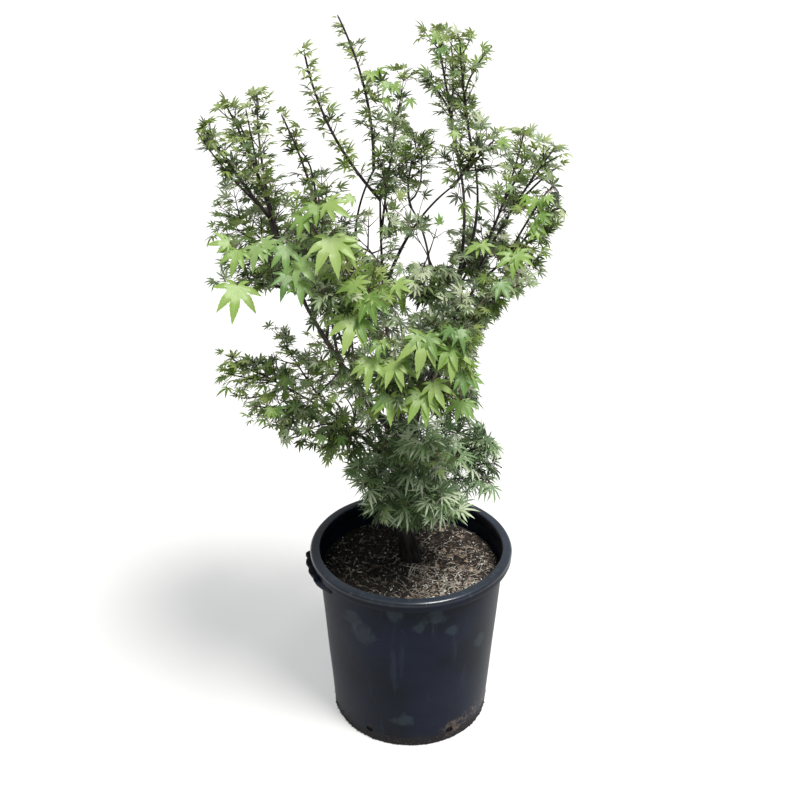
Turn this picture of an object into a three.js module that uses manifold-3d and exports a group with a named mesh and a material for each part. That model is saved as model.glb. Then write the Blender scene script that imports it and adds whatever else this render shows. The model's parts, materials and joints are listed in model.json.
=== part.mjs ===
// Potted garden maple: a young tree with several boughs, in a round nursery pot.
// Millimetres, +Z up. The origin is the centre of the pot's flat underside.
// The front of the plant faces -Y, and +X is to its right.
import * as THREE from "three";
import { mergeVertices } from "three/addons/utils/BufferGeometryUtils.js";
import Module from "manifold-3d";

const wasm = await Module();
wasm.setup();

// Clearances
const GAP = 0.3; // between neighbouring solids
const LIMB_CLEARANCE = 3; // between leaves or twigs and a limb they don't grow from
const SPACE_MARGIN = 0.03; // between the spaces of two masses, as a share of their reach

// Pot: a round nursery pot with a rolled rim
const POT = {
  height: 409,
  rimRadius: 215, // outside of the rolled rim
  wallTopRadius: 197.5, // outside of the wall just under the rim
  baseRadius: 170,
  wall: 3,
  floor: 4,
  edge: 4, // rounding at the foot and along the rim
  rimDrop: 23, // height of the skirt that hangs from the rim
  rimSheet: 2.6, // thickness of the rolled sheet
  rimTuck: 1, // how far the skirt's foot lies inside the rim's edge
  rimRound: 8, // rounding of the rim's outer edge
  sides: 44,
};

// Drainage holes through the wall at its foot
const DRAIN = { count: 6, firstAngle: 239, height: 29, radius: 8, depth: 24, sides: 10 };

// Scalloped grip under the rim, at the front left
const GRIP = {
  from: 176, // degrees round the pot
  to: 212,
  scallops: 4,
  reach: 225, // from the pot's axis
  depth: 4, // of the scallops
  bottom: 352,
  taper: 10, // how much less its underside reaches out
  fade: 2.5, // how steeply it rises from the wall at its two ends
  steps: 5, // points on each scallop
};

// Potting mix, dished a little towards the wall
const SOIL = { level: 360, edgeLevel: 352, flatRadius: 70, shoulderRadius: 150, shoulderLevel: 357.6 };

// Trunk and boughs. "at" is how far along its parent a limb starts, "bow" is how far
// its middle stands off the straight line, and "radius" is at its foot and its tip.
const LIMBS = {
  trunk: { foot: [2, 15, SOIL.level + GAP], tip: [-20, 0, 670], bow: [-15, 0, 15], radius: [16.5, 12] },
  right_bough: { from: "trunk", at: 0.88, tip: [80, 60, 1235], bow: [60, 20, 40], radius: [8.5, 3.2] },
  left_bough: { from: "trunk", at: 0.95, tip: [-265, -20, 1140], bow: [-35, -20, 20], radius: [7.5, 3.6] },
  leader: { from: "trunk", at: 1, tip: [-60, 20, 1160], bow: [-10, 0, 0], radius: [7, 2.8] },
  back_bough: { from: "trunk", at: 0.78, tip: [-5, 150, 1105], bow: [55, 70, 45], radius: [7, 3] },
  back_left_bough: { from: "trunk", at: 0.66, tip: [-190, 200, 930], bow: [-15, 20, 15], radius: [6.5, 3] },
  lower_left_bough: { from: "trunk", at: 0.72, tip: [-225, -70, 800], bow: [5, -15, 20], radius: [6, 3] },
  front_bough: { from: "trunk", at: 0.8, tip: [20, -170, 895], bow: [10, -10, -15], radius: [5.5, 2.8] },
  inner_left_bough: {
    from: "leader", at: 0.28, tip: [-70, 90, 1195], bow: [-55, 20, 15], radius: [5, 2.8],
  },
  diagonal_bough: { from: "leader", at: 0.62, tip: [70, -60, 1200], bow: [-10, 0, 20], radius: [4, 2.6] },
  right_twin_bough: {
    from: "right_bough", at: 0.6, tip: [105, -20, 1255], bow: [20, -20, 5], radius: [4.4, 2.6],
  },
  far_right_bough: {
    from: "right_bough", at: 0.2, tip: [135, -60, 1100], bow: [-5, -35, -40], radius: [6, 3],
  },
  back_right_bough: {
    from: "back_bough", at: 0.33, tip: [125, 225, 880], bow: [0, 20, -45], radius: [5, 2.8],
  },
  front_left_bough: {
    from: "left_bough", at: 0.22, tip: [-110, -180, 1000], bow: [-5, -20, -25], radius: [5, 2.8],
  },
};
const FLARE = { lobes: 5, height: 0.16, spread: 0.45, ripple: 0.16 }; // roots showing at the trunk's foot

// Two kinds of leaf. The middle lobe is the longest and the last ones on each side the
// shortest; a notch and a last lobe are given as shares of a full lobe.
const LEAF_KINDS = {
  broad: { lobes: 5, spread: 104, lastLobe: 0.7, notch: 0.52, droop: 0.3 },
  narrow: { lobes: 5, spread: 100, lastLobe: 0.74, notch: 0.36, droop: 0.2 },
};
const LEAF = {
  thickness: 1.6,
  length: 0.68, // of the mass's reach
  back: 7, // from the leaf's middle, where its twig ends, to the bay between its last lobes
  heart: 0.4, // where distances between leaves are measured, as a share of their length
  room: 0.85, // least distance between two leaves of a mass, as a share of their length
  outward: 0.8, // how far leaves face away from the trunk, beside facing up
  hang: 0.3, // how far they point down
  sizes: [1, 0.85, 0.7, 0.58], // tried in turn until the leaf fits its space
  tested: [1, 0.67, 0.33], // where a leaf is tested, as shares of the way to its outline
};

// Masses of foliage. Each grows round one stem that ends at "tip"; "reach" is how far
// from that stem its twigs and leaves may go.
const MASSES = {
  far_left_shoots: { from: "left_bough", at: 1, tip: [-340, -90, 1275], reach: 78 },
  left_top_shoots: { from: "left_bough", at: 0.88, tip: [-310, 10, 1295], reach: 72 },
  left_inner_shoots: { from: "left_bough", at: 0.76, tip: [-280, 100, 1300], reach: 72 },
  left_spire: { from: "left_bough", at: 0.5, tip: [-215, -55, 1295], reach: 66 },
  left_dark_spray: { from: "left_bough", at: 0.82, tip: [-335, 50, 1110], reach: 105 },
  left_bright_spray: { from: "left_bough", at: 0.7, tip: [-305, -100, 1035], reach: 128, kind: "broad" },
  left_back_spray: { from: "left_bough", at: 0.64, tip: [-280, 135, 1105], reach: 110 },
  upper_bright_spray: { from: "left_bough", at: 0.6, tip: [-165, -130, 1155], reach: 112, kind: "broad" },
  left_middle_spray: { from: "left_bough", at: 0.42, tip: [-170, 60, 1150], reach: 104 },
  tall_spire: { from: "inner_left_bough", at: 1, tip: [-120, 65, 1435], reach: 60 },
  centre_left_spire: { from: "leader", at: 1, tip: [-165, -50, 1380], reach: 66 },
  centre_top_spray: { from: "leader", at: 0.84, tip: [-25, 35, 1320], reach: 96 },
  centre_left_spray: { from: "leader", at: 0.7, tip: [-85, -60, 1090], reach: 104 },
  centre_right_spray: { from: "back_bough", at: 1, tip: [15, 165, 1225], reach: 90 },
  right_spire: { from: "right_bough", at: 1, tip: [55, 75, 1410], reach: 82 },
  right_twin_spire: { from: "right_twin_bough", at: 1, tip: [115, -35, 1395], reach: 80 },
  right_dark_spray: { from: "diagonal_bough", at: 1, tip: [105, -90, 1275], reach: 100 },
  far_right_spire: { from: "far_right_bough", at: 1, tip: [190, 20, 1245], reach: 76 },
  far_right_outer_spray: { from: "far_right_bough", at: 0.88, tip: [230, -70, 1240], reach: 80 },
  right_bright_spray: {
    from: "far_right_bough", at: 0.76, tip: [230, -130, 1140], reach: 108, kind: "broad",
  },
  right_low_bright_spray: {
    from: "far_right_bough", at: 0.55, tip: [165, -145, 1035], reach: 108, kind: "broad",
  },
  right_back_spray: { from: "right_bough", at: 0.55, tip: [170, 110, 1080], reach: 104 },
  middle_dense_spray: { from: "right_bough", at: 0.46, tip: [20, -75, 1090], reach: 118 },
  middle_front_spray: { from: "right_bough", at: 0.26, tip: [80, -125, 990], reach: 110 },
  middle_right_spray: { from: "far_right_bough", at: 0.4, tip: [125, 0, 905], reach: 100 },
  middle_bright_spray: {
    from: "front_left_bough", at: 1, tip: [-115, -215, 1070], reach: 125, kind: "broad",
  },
  front_right_bright_spray: { from: "front_bough", at: 1, tip: [55, -220, 965], reach: 125, kind: "broad" },
  front_left_bright_spray: {
    from: "front_bough", at: 0.7, tip: [-55, -225, 925], reach: 125, kind: "broad",
  },
  right_low_spray: { from: "right_bough", at: 0.16, tip: [70, -20, 780], reach: 98, kind: "broad" },
  low_left_far_spray: { from: "lower_left_bough", at: 1, tip: [-305, -65, 850], reach: 106 },
  low_left_upper_spray: { from: "lower_left_bough", at: 0.7, tip: [-255, 30, 865], reach: 92 },
  low_left_near_spray: { from: "lower_left_bough", at: 0.82, tip: [-250, -140, 795], reach: 104 },
  low_left_under_spray: { from: "lower_left_bough", at: 0.5, tip: [-150, -115, 740], reach: 98 },
  foot_left_spray: { from: "trunk", at: 0.38, tip: [-60, -85, 600], reach: 108 },
  foot_right_spray: { from: "trunk", at: 0.52, tip: [110, -30, 645], reach: 108 },
  foot_front_spray: { from: "trunk", at: 0.28, tip: [40, -115, 585], reach: 104 },
  low_front_spray: { from: "trunk", at: 0.6, tip: [10, -140, 725], reach: 124 },
  foot_back_spray: { from: "trunk", at: 0.46, tip: [-25, 135, 600], reach: 118 },
  back_left_spray: { from: "back_left_bough", at: 1, tip: [-250, 225, 970], reach: 118 },
  back_middle_spray: { from: "back_left_bough", at: 0.62, tip: [-85, 245, 875], reach: 118 },
  back_right_spray: { from: "back_right_bough", at: 1, tip: [165, 245, 945], reach: 116 },
  back_low_right_spray: { from: "back_bough", at: 0.3, tip: [75, 180, 705], reach: 112 },
  back_low_left_spray: { from: "back_left_bough", at: 0.4, tip: [-195, 150, 760], reach: 108 },
};

// How a mass grows: a stem, pairs of twigs along it, and leaves on these
const STEM = { radius: [3.6, 1], lead: 0.45, follow: 0.25, followTip: 2, tipStart: 0.985 };
const TWIG = {
  nodes: 4, // pairs of twigs along a stem
  first: 0.3, // the lowest and the highest pair, as shares of the stem
  last: 0.9,
  radius: 2.1,
  sides: 3,
  length: 0.62, // of the mass's reach, for the lowest pair
  shorten: 0.3, // how much shorter the top pair is
  spread: 58, // degrees off the stem
  turn: 90, // degrees from one pair to the next
  rise: 0.15, // how far a twig turns upwards
  sizes: [1.3, 1, 0.75, 0.5, 0.25], // tried in turn until the twig fits its space
  stray: 25, // degrees that a twig may stray from its turn
  uneven: [0.85, 1.15], // shortest and longest, as shares of the plain length
};

// How finely the round solids are divided
const TUBES = {
  trunk: { sides: 14, steps: 9 },
  bough: { sides: 6, steps: 7 },
  stem: { sides: 3, steps: 4 },
};
const SLACK = 0.2; // how far tiny faces may be smoothed away
const SAMPLES = 12; // points that stand for a curve when distances are measured

// Colours, roughness and gloss
const FINISHES = {
  pot: { color: 0x262b38, roughness: 0.42 },
  soil: { color: 0x3b2f27, roughness: 1 },
  bark: { color: 0x4a3a3a, roughness: 0.8 },
  broad: { color: 0x9fc060, roughness: 0.6 },
  narrow: { color: 0x51683f, roughness: 0.6 },
};

const DEGREE = Math.PI / 180;
const UP = new THREE.Vector3(0, 0, 1);
const RIGHT = new THREE.Vector3(1, 0, 0);
const ALONG = new THREE.Vector3(0, 1, 0); // the axis of a new cone
const vector = (xyz) => new THREE.Vector3(...xyz);
const mix = (a, b, t) => a + (b - a) * t;

// Solids from geometries, and meshes from solids

function solidOf(geometry) {
  geometry.deleteAttribute("normal");
  geometry.deleteAttribute("uv");
  const merged = mergeVertices(geometry);
  return new wasm.Manifold(
    new wasm.Mesh({
      numProp: 3,
      vertProperties: Float32Array.from(merged.attributes.position.array),
      triVerts: Uint32Array.from(merged.index.array),
    }),
  );
}

// The largest piece of a solid, without loose scraps or sealed hollows
function largestPiece(solid) {
  return solid.decompose().reduce((best, piece) => (piece.volume() > best.volume() ? piece : best));
}

function meshOf(name, solid, finish) {
  const { vertProperties, triVerts } = solid.getMesh();
  const geometry = new THREE.BufferGeometry();
  geometry.setAttribute("position", new THREE.BufferAttribute(vertProperties, 3));
  geometry.setIndex(new THREE.BufferAttribute(triVerts, 1));
  geometry.computeVertexNormals();
  const material = new THREE.MeshStandardMaterial({ ...FINISHES[finish], metalness: 0, flatShading: true });
  const mesh = new THREE.Mesh(geometry, material);
  mesh.name = name;
  return mesh;
}

// A closed tube along a curve. radiusAt(u, angle) gives its radius, "extra" lengthens its
// tip, and a level foot makes its lowest ring horizontal.
function tubeAlong(curve, { sides, steps, radiusAt, extra = 0, levelFoot = false }) {
  const geometry = new THREE.CylinderGeometry(1, 1, 1, sides, steps);
  const { tangents, normals, binormals } = curve.computeFrenetFrames(steps);
  const position = geometry.attributes.position;
  const point = new THREE.Vector3();
  for (let index = 0; index < position.count; index += 1) {
    point.fromBufferAttribute(position, index);
    const ring = Math.round((point.y + 0.5) * steps);
    const angle = Math.atan2(point.z, point.x);
    const radius = Math.hypot(point.x, point.z) * radiusAt(ring / steps, angle);
    const place = curve.getPointAt(ring / steps);
    place.addScaledVector(binormals[ring], radius * Math.cos(angle));
    place.addScaledVector(normals[ring], radius * Math.sin(angle));
    if (ring === steps) place.addScaledVector(tangents[ring], extra);
    if (ring === 0 && levelFoot) place.z = curve.getPointAt(0).z;
    position.setXYZ(index, place.x, place.y, place.z);
  }
  return geometry;
}

// Limbs: one tapering solid each

const curves = {}; // of every limb and stem, by name

function limbCurve({ foot, from, at, tip, bow }) {
  const start = foot ? vector(foot) : curves[from].getPointAt(at);
  const end = vector(tip);
  const control = start.clone().add(end).multiplyScalar(0.5).addScaledVector(vector(bow), 2);
  return new THREE.QuadraticBezierCurve3(start, control, end);
}

// The whole limb before it is cut, "extra" thicker and longer all round
function wholeLimb(name, extra) {
  const { radius, foot } = LIMBS[name];
  const isTrunk = Boolean(foot);
  const radiusAt = (u, angle) => {
    const flare = isTrunk ? Math.exp(-((u / FLARE.height) ** 2)) : 0;
    const roots = FLARE.spread + FLARE.ripple * Math.cos(FLARE.lobes * angle);
    return mix(radius[0], radius[1], u) * (1 + flare * roots) + extra;
  };
  const { sides, steps } = isTrunk ? TUBES.trunk : TUBES.bough;
  return solidOf(tubeAlong(curves[name], { sides, steps, radiusAt, extra, levelFoot: isTrunk }));
}

// Each limb is cut clear of its parent and of the earlier limbs that share its parent
function cutLimb(name, grown) {
  const { from } = LIMBS[name];
  const neighbours = Object.keys(grown).filter((other) => other === from || LIMBS[other].from === from);
  const solid = neighbours.reduce((left, other) => left.subtract(grown[other]), wholeLimb(name, 0));
  return largestPiece(solid);
}

// Stems: each mass has one, from its limb to its tip

function stemCurve({ from, at, tip }) {
  const limb = curves[from];
  const start = limb.getPointAt(Math.min(at, STEM.tipStart));
  const end = vector(tip);
  const length = start.distanceTo(end);
  const follow = at === 1 ? STEM.followTip : STEM.follow;
  const lead = end.clone().sub(start).normalize().addScaledVector(limb.getTangentAt(at), follow);
  const control = start.clone().addScaledVector(lead.normalize(), STEM.lead * length);
  return new THREE.QuadraticBezierCurve3(start, control, end);
}

// Space: a point belongs to the mass whose stem is nearest, measured in that mass's reach

const samples = {}; // points along every limb and stem, by name

function distanceToCurve(point, line) {
  const piece = new THREE.Line3();
  const nearest = new THREE.Vector3();
  let least = Infinity;
  for (let index = 1; index < line.length; index += 1) {
    piece.set(line[index - 1], line[index]).closestPointToPoint(point, true, nearest);
    least = Math.min(least, nearest.distanceTo(point));
  }
  return least;
}

function inPotSpace(point) {
  const inside = Math.hypot(point.x, point.y) < POT.wallTopRadius - POT.wall - LIMB_CLEARANCE;
  return point.z > (inside ? SOIL.level : POT.height) + LIMB_CLEARANCE;
}

function belongs(point, name) {
  if (!inPotSpace(point)) return false;
  const own = distanceToCurve(point, samples[name]) / MASSES[name].reach;
  if (own > 1) return false;
  for (const [other, line] of Object.entries(samples)) {
    if (other === name) continue;
    const distance = distanceToCurve(point, line);
    if (other in LIMBS && distance < LIMBS[other].radius[0] + LIMB_CLEARANCE) return false;
    if (other in MASSES && distance / MASSES[other].reach < own + SPACE_MARGIN) return false;
  }
  return true;
}

// Numbers from 0 to 1 that are the same on each run
function seededNumbers(seed) {
  let state = seed;
  return () => {
    state = (state + 0x6d2b79f5) | 0;
    let value = Math.imul(state ^ (state >>> 15), 1 | state);
    value = (value + Math.imul(value ^ (value >>> 7), 61 | value)) ^ value;
    return ((value ^ (value >>> 14)) >>> 0) / 2 ** 32;
  };
}

// Leaves: a hand of lobes, thickest in the middle and sharp along its outline

// The outline's points round the leaf's middle: the bay where the twig enters, then each
// lobe's tip with a notch before the next one
function leafOutline({ lobes, spread, lastLobe, notch }, length) {
  const outline = [new THREE.Vector2(-LEAF.back, 0)];
  const steps = 2 * lobes - 2;
  for (let step = 0; step <= steps; step += 1) {
    const side = 1 - (2 * step) / steps;
    const lobe = length * mix(1, lastLobe, Math.abs(side));
    const radius = step % 2 ? lobe * notch : lobe;
    const angle = side * spread * DEGREE;
    outline.push(new THREE.Vector2(radius * Math.cos(angle), radius * Math.sin(angle)));
  }
  return outline;
}

// Where a leaf lies: its middle, the way it points and the way it faces
function leafPlacement(middle, pointing) {
  const outward = middle.clone().setZ(0).normalize();
  const direction = pointing.clone().addScaledVector(UP, -LEAF.hang).normalize();
  const facing = UP.clone().addScaledVector(outward, LEAF.outward);
  facing.addScaledVector(direction, -facing.dot(direction)).normalize();
  const side = direction.clone().cross(facing);
  return new THREE.Matrix4().makeBasis(direction, facing, side).setPosition(middle);
}

// A point of the leaf, which droops towards its lobes' tips
function leafPoint(flat, share, leaf) {
  const along = flat.x * share;
  const across = flat.y * share;
  const drop = (-leaf.droop * (along ** 2 + across ** 2)) / leaf.length;
  return new THREE.Vector3(along, drop, across).applyMatrix4(leaf.placement);
}

// A two-sided pyramid: a sphere with one ring of points, which are moved to the outline
function leafSolid(leaf) {
  const { outline, placement } = leaf;
  const geometry = new THREE.SphereGeometry(1, outline.length, 2);
  const position = geometry.attributes.position;
  const point = new THREE.Vector3();
  for (let index = 0; index < position.count; index += 1) {
    point.fromBufferAttribute(position, index);
    if (Math.abs(point.y) > 0.5) {
      point.set(0, (Math.sign(point.y) * LEAF.thickness) / 2, 0).applyMatrix4(placement);
    } else {
      const turn = Math.atan2(point.z, -point.x) / (2 * Math.PI) + 1;
      const corner = Math.round(turn * outline.length) % outline.length;
      point.copy(leafPoint(outline[corner], 1, leaf));
    }
    position.setXYZ(index, point.x, point.y, point.z);
  }
  return solidOf(geometry);
}

// The largest leaf that fits here, in the mass's space and clear of its other leaves
function fittedLeaf(name, middle, pointing, others) {
  const { reach, kind = "narrow" } = MASSES[name];
  const placement = leafPlacement(middle, pointing);
  for (const size of LEAF.sizes) {
    const length = size * LEAF.length * reach;
    const outline = leafOutline(LEAF_KINDS[kind], length);
    const leaf = { outline, placement, length, droop: LEAF_KINDS[kind].droop };
    leaf.heart = leafPoint(new THREE.Vector2(LEAF.heart * length, 0), 1, leaf);
    const crowded = others.some(({ heart }) => heart.distanceTo(leaf.heart) < LEAF.room * length);
    const corners = outline.slice(1);
    const tested = LEAF.tested.flatMap((share) => corners.map((flat) => leafPoint(flat, share, leaf)));
    if (!crowded && tested.every((point) => belongs(point, name))) return leaf;
  }
  return null;
}

// Masses: twigs in crossed pairs along a stem, each ending in the middle of a leaf

// A direction across another one, turned round it
function across(direction, turn) {
  const upright = direction.clone().cross(UP).length() < 0.2;
  const level = direction.clone().cross(upright ? RIGHT : UP).normalize();
  const other = level.clone().cross(direction);
  return level.multiplyScalar(Math.cos(turn)).addScaledVector(other, Math.sin(turn));
}

// A direction that leaves another one by an angle in degrees
function branching(direction, turn, spread) {
  const side = across(direction, turn).multiplyScalar(Math.sin(spread * DEGREE));
  return side.addScaledVector(direction, Math.cos(spread * DEGREE));
}

// The longest twig that fits here and ends in a leaf that fits too
function fittedTwig(name, start, direction, length, others) {
  for (const size of TWIG.sizes) {
    const end = start.clone().addScaledVector(direction, length * size);
    const middle = start.clone().lerp(end, 0.5);
    if (!belongs(end, name) || !belongs(middle, name)) continue;
    const leaf = fittedLeaf(name, end, direction, others);
    if (leaf) return { start, end, leaf };
  }
  return null;
}

function twigSolid({ start, end }) {
  const length = start.distanceTo(end);
  const geometry = new THREE.ConeGeometry(TWIG.radius, length, TWIG.sides).translate(0, length / 2, 0);
  const aim = new THREE.Quaternion().setFromUnitVectors(ALONG, end.clone().sub(start).normalize());
  return solidOf(geometry.applyQuaternion(aim).translate(start.x, start.y, start.z));
}

function growMass(name, seed, grown) {
  const { from, reach } = MASSES[name];
  const random = seededNumbers(seed);
  const stem = curves[name];
  const twigs = [];
  const leaves = [];
  for (let node = 0; node < TWIG.nodes; node += 1) {
    const share = mix(TWIG.first, TWIG.last, node / (TWIG.nodes - 1));
    const start = stem.getPointAt(share);
    const along = stem.getTangentAt(share);
    for (const side of [0, 180]) {
      const turn = (node * TWIG.turn + side + mix(-TWIG.stray, TWIG.stray, random())) * DEGREE;
      const length = reach * TWIG.length * mix(1, 1 - TWIG.shorten, share) * mix(...TWIG.uneven, random());
      const direction = branching(along, turn, TWIG.spread).addScaledVector(UP, TWIG.rise).normalize();
      const twig = fittedTwig(name, start, direction, length, leaves);
      if (!twig) continue;
      twigs.push(twig);
      leaves.push(twig.leaf);
    }
  }
  const tipLeaf = fittedLeaf(name, stem.getPointAt(1), stem.getTangentAt(1), leaves);
  if (tipLeaf) leaves.push(tipLeaf);
  const stemTube = tubeAlong(stem, { ...TUBES.stem, radiusAt: (u) => mix(...STEM.radius, u) });
  const parts = [solidOf(stemTube), ...twigs.map(twigSolid), ...leaves.map(leafSolid)];
  const whole = wasm.Manifold.union(parts).subtract(grown[from]);
  return largestPiece(whole.asOriginal().simplify(SLACK));
}

// Pot and potting mix, turned about the Z axis

function turned(profile) {
  const points = profile.map(([radius, height]) => new THREE.Vector2(radius, height));
  return new THREE.LatheGeometry(points, POT.sides).rotateX(Math.PI / 2);
}

// Points of a quarter or half round, by angle from level
function round(centreRadius, centreHeight, radius, angles) {
  return angles.map((angle) => [
    centreRadius + radius * Math.cos(angle * DEGREE),
    centreHeight + radius * Math.sin(angle * DEGREE),
  ]);
}

const rimFoot = POT.height - POT.rimDrop;
const wallRadius = (height) => mix(POT.baseRadius, POT.wallTopRadius, height / rimFoot);

function potBody() {
  const skirt = POT.rimRadius - POT.rimSheet;
  const channelTop = POT.height - POT.rimSheet;
  const inside = POT.wallTopRadius - POT.wall;
  return solidOf(
    turned([
      [0, 0],
      [POT.baseRadius - POT.edge, 0],
      [wallRadius(POT.edge), POT.edge],
      [POT.wallTopRadius, rimFoot],
      [POT.wallTopRadius, channelTop],
      [skirt - POT.edge, channelTop],
      [skirt, channelTop - POT.edge],
      [skirt, rimFoot],
      [POT.rimRadius - POT.rimTuck, rimFoot],
      ...round(POT.rimRadius - POT.rimRound, POT.height - POT.rimRound, POT.rimRound, [0, 30, 60, 90]),
      ...round(inside + POT.edge, POT.height - POT.edge, POT.edge, [90, 135, 180]),
      [inside, rimFoot],
      [wallRadius(POT.floor) - POT.wall, POT.floor],
      [0, POT.floor],
    ]),
  );
}

// A short round bar that points outwards through the wall
function drainCutter(turn) {
  const cutter = new THREE.CylinderGeometry(DRAIN.radius, DRAIN.radius, DRAIN.depth, DRAIN.sides);
  cutter.rotateZ(Math.PI / 2).translate(wallRadius(DRAIN.height), 0, DRAIN.height).rotateZ(turn);
  return solidOf(cutter);
}

// The grip's plan: scallops along the outside, which die into the wall at both ends
function gripSolid() {
  const place = (radius, share) => {
    const angle = mix(GRIP.from, GRIP.to, share) * DEGREE;
    return new THREE.Vector2(radius * Math.cos(angle), radius * Math.sin(angle));
  };
  const root = wallRadius(GRIP.bottom) - POT.wall / 2;
  const steps = GRIP.scallops * GRIP.steps;
  const outside = [];
  const inside = [];
  for (let step = 0; step <= steps; step += 1) {
    const share = step / steps;
    const scallop = GRIP.reach - GRIP.depth * (1 - Math.abs(Math.sin(Math.PI * GRIP.scallops * share)));
    const ends = Math.min(1, GRIP.fade * Math.sin(Math.PI * share));
    outside.push(place(mix(root + POT.wall, scallop, ends), share));
    if (step % GRIP.steps === 0) inside.unshift(place(root, share));
  }
  const depth = rimFoot + 2 - GRIP.bottom;
  const plan = new THREE.Shape([...outside, ...inside]);
  const geometry = new THREE.ExtrudeGeometry(plan, { depth, bevelEnabled: false });
  const position = geometry.attributes.position;
  for (let index = 0; index < position.count; index += 1) {
    const [x, y, z] = [position.getX(index), position.getY(index), position.getZ(index)];
    const radius = Math.hypot(x, y);
    const inset = z < 1 ? Math.min(GRIP.taper, Math.max(0, radius - root - POT.wall)) : 0;
    const slant = wallRadius(z) - wallRadius(0);
    const scale = (radius - inset + slant) / radius;
    position.setXYZ(index, x * scale, y * scale, z + GRIP.bottom);
  }
  return solidOf(geometry);
}

function potSolid() {
  let pot = potBody().add(gripSolid());
  for (let hole = 0; hole < DRAIN.count; hole += 1) {
    pot = pot.subtract(drainCutter((DRAIN.firstAngle + (360 / DRAIN.count) * hole) * DEGREE));
  }
  return largestPiece(pot);
}

function soilSolid() {
  const underside = POT.floor + GAP;
  const clear = POT.wall + GAP;
  return solidOf(
    turned([
      [0, underside],
      [wallRadius(underside) - clear, underside],
      [wallRadius(SOIL.edgeLevel) - clear, SOIL.edgeLevel],
      [SOIL.shoulderRadius, SOIL.shoulderLevel],
      [SOIL.flatRadius, SOIL.level],
      [0, SOIL.level],
    ]),
  );
}

// The whole plant

for (const [name, limb] of Object.entries(LIMBS)) curves[name] = limbCurve(limb);
for (const [name, mass] of Object.entries(MASSES)) curves[name] = stemCurve(mass);
for (const [name, curve] of Object.entries(curves)) samples[name] = curve.getSpacedPoints(SAMPLES);
for (const [name, { reach }] of Object.entries(MASSES)) {
  const ahead = curves[name].getTangentAt(1).multiplyScalar(LEAF.length * reach);
  samples[name].push(curves[name].getPointAt(1).add(ahead)); // the space runs on past the stem by a leaf
}

const group = new THREE.Group();
group.add(meshOf("pot", potSolid(), "pot"));
group.add(meshOf("soil", soilSolid(), "soil"));

const grown = {}; // whole limbs with the clearance added, which cut their neighbours
for (const name of Object.keys(LIMBS)) {
  group.add(meshOf(name, cutLimb(name, grown), "bark"));
  grown[name] = wholeLimb(name, GAP);
}
Object.entries(MASSES).forEach(([name, mass], index) => {
  group.add(meshOf(name, growMass(name, index + 1, grown), mass.kind ?? "narrow"));
});

export default group;
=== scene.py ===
"""A potted garden maple: its bark, foliage, pot and potting mix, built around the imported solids.

Metres, +Z up. The origin is the middle of the pot's flat underside, the front faces -Y and
+X is to the right. The plans of limbs and masses are in millimetres, as in the solids.
"""

import json
import logging
import math
from collections.abc import Iterator, Sequence
from dataclasses import dataclass, field
from enum import Enum
from functools import cached_property
from typing import Self

import bpy
import numpy as np
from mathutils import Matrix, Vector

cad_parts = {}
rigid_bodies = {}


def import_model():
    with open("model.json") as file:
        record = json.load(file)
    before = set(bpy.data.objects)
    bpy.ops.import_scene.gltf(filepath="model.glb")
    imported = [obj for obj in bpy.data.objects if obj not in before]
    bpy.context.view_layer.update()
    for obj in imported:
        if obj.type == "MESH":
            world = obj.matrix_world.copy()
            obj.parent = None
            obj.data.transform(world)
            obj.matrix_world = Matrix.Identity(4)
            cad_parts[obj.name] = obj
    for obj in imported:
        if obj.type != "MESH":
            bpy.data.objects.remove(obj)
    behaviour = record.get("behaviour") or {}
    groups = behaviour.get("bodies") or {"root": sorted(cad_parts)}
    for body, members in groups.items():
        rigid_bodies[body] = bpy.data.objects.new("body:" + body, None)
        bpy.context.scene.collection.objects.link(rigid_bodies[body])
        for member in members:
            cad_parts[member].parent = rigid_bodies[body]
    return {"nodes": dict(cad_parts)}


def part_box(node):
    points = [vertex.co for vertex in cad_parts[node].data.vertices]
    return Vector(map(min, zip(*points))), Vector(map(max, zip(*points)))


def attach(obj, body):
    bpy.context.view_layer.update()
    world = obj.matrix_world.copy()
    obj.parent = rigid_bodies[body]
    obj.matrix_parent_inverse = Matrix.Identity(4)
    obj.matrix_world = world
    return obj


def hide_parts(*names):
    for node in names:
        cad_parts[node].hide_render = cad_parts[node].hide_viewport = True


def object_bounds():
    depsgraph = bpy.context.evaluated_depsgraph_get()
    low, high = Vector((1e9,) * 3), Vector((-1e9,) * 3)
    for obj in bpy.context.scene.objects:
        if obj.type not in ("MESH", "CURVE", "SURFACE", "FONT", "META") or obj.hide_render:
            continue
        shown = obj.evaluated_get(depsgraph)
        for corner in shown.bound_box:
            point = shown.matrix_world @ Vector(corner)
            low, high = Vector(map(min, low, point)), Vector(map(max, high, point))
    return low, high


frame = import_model()
SOLIDS_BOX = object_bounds()

log = logging.getLogger("potted_maple")

MM = 0.001
UP = np.array([0.0, 0.0, 1.0])
RIGHT = np.array([1.0, 0.0, 0.0])
BODY = "root"

Array = np.ndarray
Random = np.random.Generator
Pair = tuple[float, float]
Triple = tuple[float, float, float]


# Plans of the plant, the same as in its solids


class Habit(Enum):
    """How a mass of foliage looks."""

    WHIP = "whip"
    SHOOTS = "shoots"
    OPEN = "open"
    DENSE = "dense"
    BRIGHT = "bright"
    FOOT = "foot"
    SHADE = "shade"


@dataclass(frozen=True)
class LimbPlan:
    """A limb: its parent and how far along that it starts, then sizes in millimetres."""

    parent: str
    at: float
    tip: Triple
    bow: Triple
    radius: Pair
    foot: Triple | None = None


@dataclass(frozen=True)
class MassPlan:
    """A mass of foliage: its limb and how far along that its stem starts, its tip and reach."""

    limb: str
    at: float
    tip: Triple
    reach: float
    habit: Habit


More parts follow.
